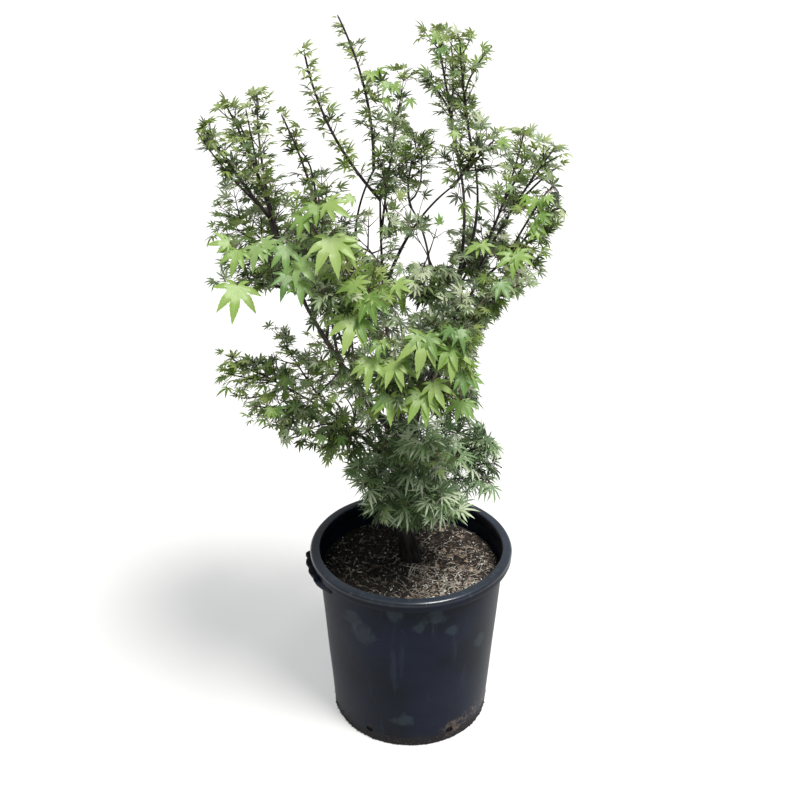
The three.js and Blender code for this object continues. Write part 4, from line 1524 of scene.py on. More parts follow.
# The leaves that the photograph shows singly: the pixel of the foot, then that of the tip
HUNG_LEAVES = {
    LeafKind.BRIGHT: (
        (547, 196, 556, 204), (540, 214, 552, 222), (534, 222, 546, 233), (528, 196, 518, 202),
        (512, 186, 503, 192), (538, 230, 529, 240), (352, 196, 344, 206), (318, 404, 310, 412),
        (237, 286, 234, 322), (229, 243, 208, 242), (238, 250, 229, 273), (327, 203, 349, 213),
        (316, 206, 303, 222), (303, 216, 296, 236), (331, 238, 343, 277), (342, 242, 357, 262),
        (355, 283, 371, 281), (357, 283, 343, 304), (369, 296, 375, 326), (366, 297, 352, 312),
        (400, 286, 408, 311), (396, 284, 414, 292), (342, 318, 330, 336), (355, 316, 345, 352),
        (357, 317, 367, 343), (379, 341, 377, 359), (383, 340, 393, 348), (370, 360, 373, 388),
        (367, 361, 352, 374), (396, 362, 402, 392), (395, 361, 384, 388), (399, 362, 417, 378),
        (424, 336, 417, 373), (427, 335, 438, 361), (453, 347, 457, 379), (450, 346, 436, 370),
        (424, 394, 426, 424), (421, 393, 411, 421), (427, 394, 441, 409), (390, 397, 393, 425),
        (433, 383, 446, 407), (513, 254, 512, 279), (517, 254, 533, 268), (541, 199, 549, 207),
        (538, 200, 527, 213), (479, 245, 467, 255), (482, 244, 494, 254), (371, 72, 364, 82),
        (377, 71, 385, 82), (394, 84, 402, 94), (386, 98, 391, 108), (410, 99, 412, 109),
        (437, 34, 428, 44), (459, 46, 466, 56), (454, 72, 462, 80), (441, 85, 434, 91),
        (456, 132, 453, 141), (500, 140, 512, 148), (448, 179, 441, 184), (272, 408, 267, 421),
    ),
    LeafKind.BRIGHT_DEEP: (
        (262, 243, 284, 254), (257, 246, 250, 268), (285, 246, 288, 272), (298, 262, 316, 283),
        (287, 275, 281, 298), (300, 281, 298, 304), (323, 240, 318, 262), (419, 335, 405, 347),
        (452, 328, 442, 341), (459, 330, 466, 349), (386, 396, 372, 410), (470, 376, 479, 392),
        (463, 374, 466, 397), (460, 402, 456, 424), (465, 402, 474, 418), (500, 282, 511, 301),
        (306, 428, 300, 438), (322, 436, 316, 447), (332, 404, 323, 413), (296, 406, 287, 413),
        (342, 436, 337, 448), (388, 82, 383, 94), (441, 48, 447, 57), (440, 224, 438, 213),
        (287, 379, 283, 395), (276, 408, 287, 414),
    ),
    LeafKind.DARK: (
        (392, 305, 400, 312), (396, 318, 388, 326), (392, 330, 400, 338), (396, 342, 388, 348),
        (400, 322, 409, 330), (404, 308, 412, 316), (398, 298, 406, 292), (390, 314, 382, 320),
        (331, 350, 322, 358), (338, 352, 346, 362), (344, 366, 335, 374), (328, 366, 319, 372),
        (350, 372, 341, 380), (352, 392, 343, 398), (360, 404, 351, 412), (366, 396, 375, 404),
        (356, 383, 366, 390), (368, 416, 359, 424), (374, 424, 383, 432), (334, 340, 342, 332),
        (322, 344, 313, 350), (340, 384, 331, 390), (348, 354, 357, 362), (316, 362, 307, 368),
        (432, 78, 420, 70), (430, 82, 418, 83), (434, 88, 423, 93), (387, 228, 379, 238),
        (395, 190, 386, 182), (386, 176, 394, 166), (388, 206, 396, 200), (458, 196, 448, 204),
        (467, 188, 478, 194), (456, 184, 446, 179), (478, 205, 489, 211), (424, 196, 433, 188),
    ),
    LeafKind.GREEN: (
        (342, 374, 352, 382), (330, 358, 339, 366), (356, 400, 366, 408), (336, 394, 327, 402),
        (428, 74, 417, 64), (440, 58, 431, 52), (482, 48, 493, 42), (398, 197, 408, 190),
        (384, 191, 374, 184), (462, 204, 471, 213), (470, 216, 461, 226), (417, 184, 408, 178),
    ),
    LeafKind.SILVER: (
        (438, 42, 430, 33), (439, 64, 429, 67), (484, 52, 495, 49), (392, 222, 402, 214),
        (465, 176, 476, 171),
    ),
}


@dataclass(frozen=True)
class Whip:
    """A straight young shoot that shows in the photograph.

    It starts from its mass's stem at a share of the way along, or takes the stem's place where
    that is 0, and its middle and tip are seen at two pixels.
    """

    mass: str
    at: float
    middle: Pair
    tip: Pair


WHIPS = [Whip(mass, at, (x, y), (tip_x, tip_y)) for mass, *rows in (
    ("far_left_shoots", (0.0, 236, 174, 207, 132), (0.12, 226, 171, 198, 133)),
    ("left_top_shoots", (0.0, 258, 176, 228, 109), (0.42, 249, 147, 237, 119), (0.46, 254, 150, 246, 110)),
    ("left_inner_shoots", (0.0, 266, 186, 257, 97)),
    ("left_spire", (0.0, 321, 230, 283, 118), (0.6, 312, 172, 300, 150)),
    ("centre_left_spire", (0.0, 333, 134, 305, 56)),
    ("tall_spire", (0.0, 366, 95, 339, 18)),
    ("right_spire", (0.0, 449, 103, 437, 35), (0.35, 453, 76, 451, 42), (0.42, 432, 84, 413, 70)),
    ("right_dark_spray", (0.45, 480, 156, 494, 140)),
    ("centre_top_spray", (0.3, 392, 226, 398, 214)),
    ("right_twin_spire", (0.0, 465, 104, 460, 44), (0.5, 470, 78, 492, 46)),
    ("far_right_spire", (0.0, 507, 192, 523, 137), (0.35, 522, 168, 537, 148)),
    ("far_right_outer_spray", (0.0, 514, 207, 551, 153), (0.5, 541, 180, 560, 166)),
    ("centre_right_spray", (0.12, 420, 184, 421, 152)),
    ("right_bright_spray", (0.6, 548, 214, 566, 212), (0.5, 541, 200, 556, 188)),
    ("low_left_far_spray", (0.3, 262, 396, 241, 398), (0.5, 248, 378, 228, 374), (0.7, 243, 366, 230, 356)),
    ("low_left_near_spray", (0.3, 292, 424, 272, 424), (0.15, 306, 430, 290, 438),
     (0.5, 278, 408, 254, 406)),
    ("low_left_under_spray", (0.2, 354, 414, 346, 398), (0.4, 344, 414, 334, 400),
     (0.3, 362, 424, 362, 408), (0.6, 338, 440, 322, 448), (0.15, 356, 404, 352, 388),
     (0.25, 340, 408, 326, 396), (0.4, 332, 424, 312, 428), (0.5, 350, 444, 346, 455),
     (0.35, 364, 434, 368, 418)),
    ("low_left_upper_spray", (0.2, 322, 396, 306, 402), (0.3, 328, 384, 340, 373)),
    ("low_left_near_spray", (0.2, 318, 412, 298, 414)),
    ("foot_right_spray", (0.5, 478, 447, 492, 448), (0.7, 478, 438, 485, 430), (0.4, 478, 464, 502, 468),
     (0.3, 470, 478, 490, 482)),
    ("foot_left_spray", (0.4, 380, 514, 374, 530), (0.5, 368, 486, 358, 484), (0.6, 367, 474, 359, 467)),
) for at, x, y, tip_x, tip_y in rows]


@dataclass
class Crown:
    """Stems, twigs, leaf stalks and leaves of all masses. Sizes are in metres, or as said."""

    bends: dict[str, Bend]
    spaces: Spaces
    view: Viewpoint
    twig_nodes: int = 4  # pairs of twigs along a stem, and where they start and end
    twig_first: float = 0.3
    twig_last: float = 0.9
    twig_length: float = 0.62  # of the mass's reach
    twig_shorten: float = 0.3
    twig_turn: float = 90.0
    twig_rise: float = 0.15
    twig_stray: float = 25.0
    twig_uneven: Pair = (0.85, 1.15)
    twig_sizes: tuple[float, ...] = (1.3, 1, 0.75, 0.5, 0.25)  # shares of a length, tried in turn
    fine_sizes: tuple[float, ...] = (1, 0.7, 0.45)
    fine_radius: Pair = (0.95, 0.45)  # millimetres, as are the next four
    whip_radius: Pair = (2.3, 1.3)
    stalk: Pair = (6, 14)  # length, for small leaves
    stalk_radius: Pair = (0.55, 0.45)
    hung_stalk_radius: Pair = (0.8, 0.6)
    stem_spurs: Triple = (0.18, 0.99, 0.1)  # where they start, end, and their step
    whip_sprays: int = 3000  # number of the first whip's spray, and of the first spur's
    spur_sprays: int = 4000
    bare: Pair = (0.12, 0.3)  # share of a stem, and of a twig, that has no leaves
    young_level: float = 1.12  # young leaves show above this height, and in full so far above it
    young_rise: float = 0.3
    depths: Array = field(default_factory=lambda: np.arange(1.3, 2.6, 0.004))  # along a ray
    overhang: float = 0.018  # how far a leaf may pass the solids' box
    lean: float = 0.45  # how far a hung leaf comes towards the eye, as a share of its length
    hung_inset: float = 0.03  # how far inside the box's front the large leaves' feet stay
    hung_within: float = 0.72  # how near a stem their feet are, as a share of the reach
    hung_elsewhere: float = 0.25  # and how much nearer they have to be to one of another habit
    most_triangles: int = 190000
    twig_bark: TwigFinish = TwigFinish("twig_bark", "#2a1d22", "#5d5257")
    stalk_skin: TwigFinish = TwigFinish("stalk_skin", "#6b4a3c", "#8b8a55", 0.45)

    def build(self) -> None:
        """Grow everything and put it in the masses' place."""
        stems = self.stems()
        twigs = Shoots.together([self.first_twigs(stems), self.leaders(stems)])
        fine = self.finer_twigs(stems, twigs)
        twigs = Shoots.together([twigs, self.whips(stems)])
        shoots = Shoots.together([stems, twigs, fine])
        log.info("shoots: %d stems, %d twigs, %d finer", len(stems.mass), len(twigs.mass), len(fine.mass))
        small, small_stalks = self.small_leaves(shoots)
        hung, hung_stalks = self.hung_leaves(shoots)
        wood = [stems.tubes(14, 6), twigs.tubes(6, 5), fine.tubes(4, 4)]
        placed("twigs", Surface.joined(wood), self.twig_bark.material(), "bark", MASS_NAMES)
        stalks = Shoots.together([small_stalks, hung_stalks]).tubes(3, 3)
        placed("leaf_stalks", stalks, self.stalk_skin.material(), "bark", MASS_NAMES)
        seats = Seats.together([small, hung])
        for kind in LeafKind:
            self.leaf_pieces(kind, seats.chosen(seats.kind == kind.number))

    def leaf_pieces(self, kind: LeafKind, seats: Seats) -> None:
        """Join the leaves of one sort into pieces of a fair size.

        Args:
            kind: The sort of leaf.
            seats: Where they sit.
        """
        *_, quads, triangles = kind.form.template
        each = 2 * len(quads) + len(triangles)
        order = np.argsort(seats.mass, kind="stable")
        pieces = math.ceil(len(order) * each / self.most_triangles)
        material = kind.finish.material()
        for number, part in enumerate(np.array_split(order, pieces)):
            some = seats.chosen(part)
            nodes = [MASS_NAMES[mass] for mass in sorted(set(some.mass.tolist()))]
            name = f"{kind.finish.name}_{number + 1}"
            placed(name, kind.form.laid_out(some, kind.number * 10 + number), material, kind.slot, nodes)
            log.info("%s: %d leaves", name, len(part))

    def stems(self) -> Shoots:
        """One stem for each mass, along its curve, or along the whip that takes its place."""
        seen = {whip.mass: whip for whip in WHIPS if whip.at == 0}
        bends = [self.bends[name] for name in MASS_NAMES]
        bends = [self._as_seen(seen[n], b.start) if n in seen else b for n, b in zip(MASS_NAMES, bends)]
        points = [np.array([getattr(b, point) for b in bends]) for point in ("start", "control", "end")]
        number = np.arange(len(bends))
        return Shoots(*points, by_mass("stem_radius") * MM, number, number, 0 * number)

    def _as_seen(self, whip: Whip, start: Array) -> Bend:
        """A whip's curve: it passes its two pixels at the depth where its mass's stem is nearest.

        Args:
            whip: The whip.
            start: Where it starts.

        Returns:
            The curve, whose control point is set so that it passes the middle pixel half-way.
        """
        mass = self.spaces.limbs + MASS_NAMES.index(whip.mass)
        lines = [self.view.line(pixel, self.depths) for pixel in (whip.middle, whip.tip)]
        middle, end = (line[np.argmin(self.spaces.distances(line)[:, mass])] for line in lines)
        return Bend(start, 2 * middle - (start + end) / 2, end)

    def whips(self, stems: Shoots) -> Shoots:
        """The whips that start along a stem."""
        rows = []
        for number, whip in enumerate(WHIPS):
            if whip.at:
                mass = MASS_NAMES.index(whip.mass)
                start = stems.chosen(np.array([mass])).at(np.array([whip.at]))[0]
                bend = self._as_seen(whip, start)
                rows.append((bend.start, bend.control, bend.end, mass, self.whip_sprays + number))
        start, control, end, mass, spray = (np.array(values) for values in zip(*rows))
        radii = np.tile(np.array(self.whip_radius) * MM, (len(rows), 1))
        return Shoots(start, control, end, radii, mass, spray, np.ones(len(rows), int))

    def first_twigs(self, stems: Shoots) -> Shoots:
        """Crossed pairs of twigs along each stem, by the solids' rule and its seeded numbers.

        Args:
            stems: The stems, whose numbers seed the rule.

        Returns:
            The twigs that fit their mass's space.
        """
        rows = []
        for mass in range(len(MASS_NAMES)):
            random = seeded_numbers(mass + 1)
            for node in range(self.twig_nodes):
                share = mixed(self.twig_first, self.twig_last, node / (self.twig_nodes - 1))
                for side in (0, 180):
                    stray = mixed(-self.twig_stray, self.twig_stray, next(random))
                    uneven = mixed(*self.twig_uneven, next(random))
                    rows.append((mass, share, node * self.twig_turn + side + stray, uneven))
        mass, share, turn, uneven = np.array(rows).T
        mass = mass.astype(int)
        carriers = stems.chosen(mass)
        length = self.spaces.reach[mass] * self.twig_length * mixed(1, 1 - self.twig_shorten, share) * uneven
        direction = branching(carriers.heading(share), np.radians(turn), by_mass("twig_spread")[mass])
        return self._shoots(
            carriers.at(share), unit(direction + UP * self.twig_rise), length * by_mass("twig_share")[mass],
            mass, len(MASSES) + np.arange(len(mass)), 1, by_mass("twig_radius")[mass] * MM,
        )

    def leaders(self, stems: Shoots) -> Shoots:
        """A shoot that carries each stem on past its tip."""
        ends = np.ones(len(stems.mass))
        length = self.spaces.reach * by_mass("leader")
        radii = np.stack([stems.radius[:, 1], stems.radius[:, 1] * 0.5], 1)
        return self._shoots(stems.at(ends), stems.heading(ends), length, stems.mass, stems.spray, 1, radii)

    def finer_twigs(self, stems: Shoots, twigs: Shoots) -> Shoots:
        """Pairs of finer twigs along each twig, and more of them, the spurs, along the stems.

        Args:
            stems: The stems.
            twigs: The twigs by the solids' rule.

        Returns:
            The finer twigs that fit.
        """
        random = np.random.default_rng(5)
        habits = np.array([plan.habit.value for plan in MASSES.values()])
        parts = []
        for habit, plan in HABITS.items():
            mine = habits == habit.value
            carriers = twigs.chosen(mine[twigs.mass])
            for number, share in enumerate(plan.fine):
                parts += self._pairs(carriers, share, 0.5 - 0.12 * number, 48.0, 90 * number, random)
            carriers = stems.chosen(mine)
            for share in np.arange(*self.stem_spurs):
                parts += self._pairs(carriers, share, plan.spurs * (1.15 - share), 50.0, 900 * share, random)
        return Shoots.together(parts)

    def _pairs(
        self, parents: Shoots, share: float, size: float, spread: float, turn: float, random: Random
    ) -> list[Shoots]:
        """A pair of finer twigs on each parent, where they fit.

        Args:
            parents: The shoots that carry them.
            share: Where along the parents.
            size: Length against the parent's.
            spread: Degrees off the parent.
            turn: Degrees round the parent.
            random: Source of small differences.

        Returns:
            A list of the two sides' shoots.
        """
        slip, sway, stray, rise, uneven = 0.03, 14, 8, 0.12, (0.75, 1.25)
        count = len(parents.mass)
        places = np.clip(share + random.normal(0, slip, count), 0, 1)
        start, along = parents.at(places), parents.heading(places)
        swayed = turn + random.normal(0, sway, count)
        radii = np.tile(np.array(self.fine_radius) * MM, (count, 1))
        spur = self.spur_sprays + 40 * parents.mass + round(20 * share)
        spray = np.where(parents.level == 0, spur, parents.spray)
        found = []
        for side in (0, 180):
            angle = np.radians(swayed + side + random.normal(0, stray, count))
            direction = unit(branching(along, angle, spread) + UP * rise)
            length = parents.length * size * random.uniform(*uneven, count)
            found.append(self._shoots(start, direction, length, parents.mass, spray, 2, radii))
        return found

    def _shoots(
        self, start: Array, direction: Array, length: Array, mass: Array, spray: Array,
        level: int, radii: Array,
    ) -> Shoots:
        """Twigs that set off in a direction, lift a little towards their tips, and fit.

        A twig takes the first of a few shares of its length at which its middle and end stay in
        its mass's space and out of the sky. It is left out where none does.

        Args:
            start: Where the twigs start.
            direction: Their ways.
            length: Their plain lengths.
            mass: Their masses.
            spray: Their sprays.
            level: 1 for twigs, 2 for finer ones.
            radii: Their radii at both ends.

        Returns:
            The twigs that fit.
        """
        sag, fit = 0.06, np.zeros(len(start))
        for size in self.twig_sizes if level == 1 else self.fine_sizes:
            reach = column(length * size)
            good = self.spaces.belongs(start + direction * reach, mass)
            good &= self.spaces.belongs(start + direction * reach / 2, mass)
            good &= ~self._in_sky(start + direction * reach)
            fit = np.where((fit == 0) & good, length * size, fit)
        reach = column(fit)
        control = start + direction * reach / 2 - sag * reach * UP
        end = start + direction * reach
        return Shoots(start, control, end, radii, mass, spray, np.full(len(mass), level)).chosen(fit > 0)

    def small_leaves(self, shoots: Shoots) -> tuple[Seats, Shoots]:
        """Pairs of leaves along every shoot, each pair turned square to the last.

        Args:
            shoots: Everything that carries leaves.

        Returns:
            Their seats and their stalks.
        """
        random = np.random.default_rng(11)
        bare = np.where(shoots.level == 0, *self.bare)
        spacing = by_mass("spacing")[shoots.mass] * MM
        nodes = np.maximum(1, np.round(shoots.length * (1 - bare) / spacing)).astype(int)
        kinds = self._dealt(shoots, random)
        found = []
        for node in range(1, nodes.max() + 1):
            here = nodes >= node
            share = bare[here] + (1 - bare[here]) * node / nodes[here]
            for side in (0, 180):
                turn, last = node * 90 + side, node == nodes[here]
                found.append(self._side(shoots.chosen(here), share, last, turn, kinds[here], random))
        seats, stalks = zip(*found)
        seats, stalks = Seats.together(seats), Shoots.together(stalks)
        kept = self._kept(seats, random)
        return seats.chosen(kept), stalks.chosen(kept)

    def _dealt(self, shoots: Shoots, random: Random) -> Array:
        """The number of each shoot's sort of leaf, the same all over a spray."""
        draws = random.random(int(shoots.spray.max()) + 1)[shoots.spray]
        kinds = np.zeros(len(draws), int)
        for mass, plan in enumerate(MASSES.values()):
            shares = HABITS[plan.habit].kinds
            limits = np.cumsum(list(shares.values()))
            numbers = np.array([kind.number for kind in shares])
            mine = shoots.mass == mass
            kinds[mine] = numbers[np.minimum(np.searchsorted(limits, draws[mine]), len(numbers) - 1)]
        return kinds

    def _side(
        self, shoots: Shoots, share: Array, last: Array, turn: float, kinds: Array,
        random: Random,
    ) -> tuple[Seats, Shoots]:
        """One leaf on one side of each shoot.

        Args:
            shoots: The shoots.
            share: Where along each.
            last: Whether this is the shoot's end.
            turn: Degrees round the shoot.
            kinds: The sort of leaf of each.
            random: Source of small differences.

        Returns:
            Seats and stalks.
        """
        end_spread, side_spread, stray, flatness, lift = 34, 60, 8, 0.7, 0.05
        swing, step_turn, ahead, hang_stray, face_stray = 16, 37, 0.25, 0.18, 0.2
        end_size, young_stalk, curls, young_curl, stalk_bow = 0.9, 0.5, (0.6, 1.6), 2.2, 0.08
        count = len(shoots.mass)
        outward_by, hang_by, young_by = (by_mass(name)[shoots.mass] for name in ("outward", "hang", "young"))
        upright = np.array([plan.habit in (Habit.WHIP, Habit.SHOOTS) for plan in MASSES.values()])
        start, along = shoots.at(share), shoots.heading(share)
        spread = np.where(last, end_spread, side_spread) + random.normal(0, stray, count)
        angle = np.radians(turn + random.normal(0, swing, count) + step_turn * shoots.spray)
        out = unit(branching(along, angle, spread) * np.array([1, 1, flatness]) + UP * lift)
        height = np.clip((start[:, 2] - self.young_level) / self.young_rise, 0, 1)
        young = last & (shoots.level < 2) & upright[shoots.mass]
        young = young | (random.random(count) < young_by * height * share)
        kinds = np.where(young, LeafKind.YOUNG.number, kinds)
        low, high = np.array([kind.lengths for kind in LeafKind])[kinds].T * MM
        length = mixed(low, high, random.random(count)) * np.where(last, end_size, 1.0)
        stalk = mixed(*self.stalk, random.random(count)) * MM * np.where(young, young_stalk, 1.0)
        base = start + out * column(stalk)
        pointing = unit(out + along * ahead - UP * column(hang_by + random.normal(0, hang_stray, count)))
        outward = unit(start * np.array([1, 1, 0]))
        facing = UP + outward * column(outward_by) + random.normal(0, face_stray, (count, 3))
        facing = unit(facing - (facing * pointing).sum(1, keepdims=True) * pointing)
        curl = random.uniform(*curls, count) * np.where(young, young_curl, 1.0)
        radii = np.tile(np.array(self.stalk_radius) * MM, (count, 1))
        bend = (start + base) / 2 + UP * column(stalk) * stalk_bow
        stalks = Shoots(start, bend, base, radii, shoots.mass, shoots.spray, np.full(count, 3))
        return Seats(base, pointing, facing, length, curl, shoots.mass, kinds), stalks

    def _kept(self, seats: Seats, random: Random) -> Array:
        """Which leaves stay: those whose middle is in their mass's space and tip within the box.

        Args:
            seats: The leaves.
            random: Source of the share that is left out.

        Returns:
            A mask.
        """
        middle_share, overlap = 0.4, -0.12
        middle = seats.base + seats.pointing * column(middle_share * seats.length)
        tip = seats.base + seats.pointing * column(seats.length)
        low, high = (np.array(corner) for corner in SOLIDS_BOX)
        kept = ((tip > low - self.overhang) & (tip < high + self.overhang)).all(1)
        kept &= self.spaces.belongs(middle, seats.mass, overlap)
        kept &= self.spaces.above_pot(tip) & self.spaces.above_skirt(middle) & ~self._in_sky(middle)
        return kept & (random.random(len(kept)) < by_mass("fill")[seats.mass])

    def _in_sky(self, points: Array) -> Array:
        """Whether points are seen where the photograph shows sky."""
        offset = self.view.pixels(points)[None] - np.array(OPENINGS)[:, None, :2]
        return ((offset / np.array(OPENINGS)[:, None, 2:]) ** 2).sum(-1).min(0) < 1

    def hung_leaves(self, shoots: Shoots) -> tuple[Seats, Shoots]:
        """The leaves that the photograph shows singly, each on a stalk from its mass.

        Args:
            shoots: What can carry them.

        Returns:
            Their seats and their stalks.
        """
        face_up, stray, sought_above, stalk_bow, length_share = 0.55, 0.16, 0.012, 0.18, 0.98
        random = np.random.default_rng(17)
        elsewhere = [self.hung_elsewhere * (plan.habit != Habit.BRIGHT) for plan in MASSES.values()]
        paths = shoots.paths(7)
        rows, starts = [], []
        for kind, x, y, tip_x, tip_y in [(kind, *row) for kind, rows in HUNG_LEAVES.items() for row in rows]:
            line = self.view.line((x, y), self.depths)
            line = line[line[:, 1] > SOLIDS_BOX[0][1] + self.hung_inset]
            share = self.spaces.distances(line)[:, self.spaces.limbs :] / self.spaces.reach
            wanted = share + np.array(elsewhere)
            within = wanted.min(1) < self.hung_within
            place = int(np.argmax(within)) if within.any() else int(np.argmin(share.min(1)))
            mass = int(np.argmin(wanted[place]))
            base = line[place]
            depth = (base - self.view.place) @ self.view.forward
            image = np.linalg.norm([tip_x - x, tip_y - y]) / self.view.focal * depth
            tip = self.view.place + (depth - self.lean * image) * self.view.ray((tip_x, tip_y))
            pointing = unit(tip - base)
            facing = -self.view.forward + face_up * UP + random.normal(0, stray, 3)
            facing = unit(facing - facing @ pointing * pointing)
            mine = np.flatnonzero(shoots.mass == mass)
            gaps = np.linalg.norm(paths[mine] + sought_above * UP - base, axis=2)
            shoot, step = np.unravel_index(np.argmin(gaps), gaps.shape)
            starts.append(paths[mine[shoot], step])
            length = np.linalg.norm(tip - base) * length_share
            rows.append((base, pointing, facing, length, random.uniform(0.8, 1.3), mass, kind.number))
        seats = Seats(*(np.array(values) for values in zip(*rows)))
        start, count = np.array(starts), len(rows)
        away = np.array([np.linalg.norm(gap) for gap in seats.base - start])
        bend = (start + seats.base) / 2 + column(stalk_bow * away) * UP
        radii = np.tile(np.array(self.hung_stalk_radius) * MM, (count, 1))
        still = np.zeros(count, int)
        return seats, Shoots(start, bend, seats.base, radii, seats.mass, still, still + 3)


# Pot


@dataclass
class NurseryPot:
    """A round pot with a rolled rim, a scalloped grip and drainage holes."""

    plan: PotPlan
    view: Viewpoint
    sides: int = 240
    longest: float = 0.009  # between two rings of the shell
    hole_count: int = 6
    hole_first: float = 239.0
    hole_height: float = 0.029
    hole_radius: float = 0.008
    hole_depth: float = 0.024
    grip_from: float = 176.0
    grip_to: float = 212.0
    grip_scallops: int = 4
    grip_reach: float = 0.225
    grip_depth: float = 0.004
    grip_bottom: float = 0.352
    grip_taper: float = 0.021
    grip_fade: float = 2.5
    grip_slant: float = 1.4  # how fast the taper goes with height
    dirt_count: int = 900
    dirt_sizes: Pair = (0.8, 3.2)  # millimetres
    dirt_flat: float = 0.8
    dirt_height: Pair = (0.0006, 0.02)  # the lowest crumb, and how far up from it they go
    dirt_sunk: float = 0.0006  # how far into the wall
    clinging: EarthFinish = EarthFinish(
        "foot_dirt", "#0d0b0a", "#3a312b", "#8d8072", 0.6, 340.0, damp_shade=0.0
    )

    def build(self) -> None:
        """Make the pot, its grip and the crumbs that cling to its foot."""
        material = self.finish().material()
        pot = placed("pot_shell", self.shell(), material, "pot", ["pot"])
        self._drill(pot)
        placed("pot_grip", self.grip(), material, "pot", ["pot"])
        placed("pot_foot_dirt", self.foot_dirt(), self.clinging.material(), "soil", ["pot"], smooth=False)

    def finish(self) -> PlasticFinish:
        """Navy plastic, with its chalky patches and its dirt where the photograph shows them."""
        chalk = (
            (351, 619, 0.026), (363, 633, 0.026), (393, 614, 0.02), (436, 617, 0.024), (420, 630, 0.013),
            (452, 632, 0.016), (480, 640, 0.02), (402, 720, 0.022),
        )
        dirt = ((464, 718, 0.028), (452, 728, 0.024), (482, 700, 0.02), (474, 708, 0.02))
        chalk, dirt = (
            tuple((self.view.on_pot((x, y), self.plan), size) for x, y, size in spots)
            for spots in (chalk, dirt)
        )
        return PlasticFinish(
            "pot_plastic", "#0e131d", "#151b2b", "#2a3140", "#3a464c", "#2b2622", "#66717f", "#5e5046",
            chalk, dirt, self.plan.height, self.plan.rim_foot,
        )

    def shell(self) -> Surface:
        """Wall, floor and rolled rim: a closed profile turned about the axis, a little uneven."""
        plan, edge, foot, top = self.plan, self.plan.edge, self.plan.rim_foot, self.plan.height
        skirt, lip = plan.rim_radius - plan.rim_sheet, plan.rim_radius - plan.rim_tuck
        channel, inside = top - plan.rim_sheet, plan.wall_top_radius - plan.wall
        profile = [(0.0, 0.0), (plan.base_radius - edge, 0.0)]
        profile += rounded((plan.wall_radius(0.0) - edge + 0.0002, edge), edge, (-80, 0))
        profile += [(plan.wall_radius(0.006), 0.006), (plan.wall_top_radius, foot)]
        profile += [(plan.wall_top_radius, channel - 0.002), (plan.wall_top_radius + 0.002, channel)]
        profile += rounded((skirt - edge, channel - edge), edge, (90, 0))
        profile += [(skirt, foot + 0.001), (skirt + 0.0004, foot), (lip - 0.0004, foot), (lip, foot + 0.001)]
        centre = (plan.rim_radius - plan.rim_round, top - plan.rim_round)
        profile += rounded(centre, plan.rim_round, (0, 90), 12)
        profile += rounded((inside + edge, top - edge), edge, (90, 180))
        profile += [(inside, foot), (plan.wall_radius(plan.floor + 0.003) - plan.wall, plan.floor + 0.003)]
        profile += [(plan.wall_radius(plan.floor) - plan.wall - 0.003, plan.floor), (0.0, plan.floor)]
        shell = revolved(refined(profile, self.longest), self.sides)
        shell.points = self._uneven(shell.points)
        return shell

    def _uneven(self, points: Array) -> Array:
        """The wall out of round by less than a millimetre, most at the rim."""
        angle = np.arctan2(points[:, 1], points[:, 0])
        high = np.clip(points[:, 2] / self.plan.height, 0, 1)
        push = 0.0006 * high * (np.sin(2 * angle + 0.6) - 1) + 0.0003 * high * np.sin(5 * angle + 2)
        dents = 0.0003 * ripples(points, 0.12, 71) * np.clip(high * 4, 0, 1)
        radius = np.maximum(np.hypot(points[:, 0], points[:, 1]), 1e-6)
        scale = 1 + np.where(radius > 0.1, push + dents, 0) / radius
        return points * np.stack([scale, scale, np.ones_like(scale)], -1)

    def _drill(self, pot: bpy.types.Object) -> None:
        """Cut the drainage holes: short bars through the wall, taken away from the mesh."""
        turns = np.radians(self.hole_first + 360 / self.hole_count * np.arange(self.hole_count))
        ways = np.pad(level_way(turns), ((0, 0), (0, 1)))
        middle = ways * self.plan.wall_radius(self.hole_height) + UP * self.hole_height
        half = self.hole_depth / 2 * ways
        paths = np.stack([middle - half, middle, middle + half], 1)
        bars = tubes(paths, np.full((self.hole_count, 3), self.hole_radius), 24)
        cutter = linked("drill", bars.mesh("drill"))
        cut = pot.modifiers.new("drain", "BOOLEAN")
        cut.operation = "DIFFERENCE"
        cut.solver = "EXACT"
        cut.object = cutter
        bpy.context.view_layer.update()
        drilled = bpy.data.meshes.new_from_object(pot.evaluated_get(bpy.context.evaluated_depsgraph_get()))
        pot.modifiers.clear()
        whole = pot.data
        pot.data = drilled
        drilled.name = pot.name
        bpy.data.meshes.remove(whole)
        bpy.data.objects.remove(cutter)
        log.info("%s: %d faces once drilled", pot.name, len(drilled.polygons))

    def foot_dirt(self) -> Surface:
        """Crumbs of mix stuck to the wall, most of them at the very foot."""
        random = np.random.default_rng(57)
        lowest, rise = self.dirt_height
        height = lowest + rise * random.random(self.dirt_count) ** 4
        angle = random.uniform(0, 2 * np.pi, self.dirt_count)
        size = mixed(*self.dirt_sizes, random.random(self.dirt_count) ** 3) * MM
        lean = 0.09 * (height > self.plan.edge)
        radius = self.plan.wall_radius(0.0) - self.dirt_sunk + lean * height
        middle = [column(radius) * level_way(angle), column(height + self.dirt_flat * size)]
        return uneven_lumps(np.concatenate(middle, -1), size, self.dirt_flat, random)

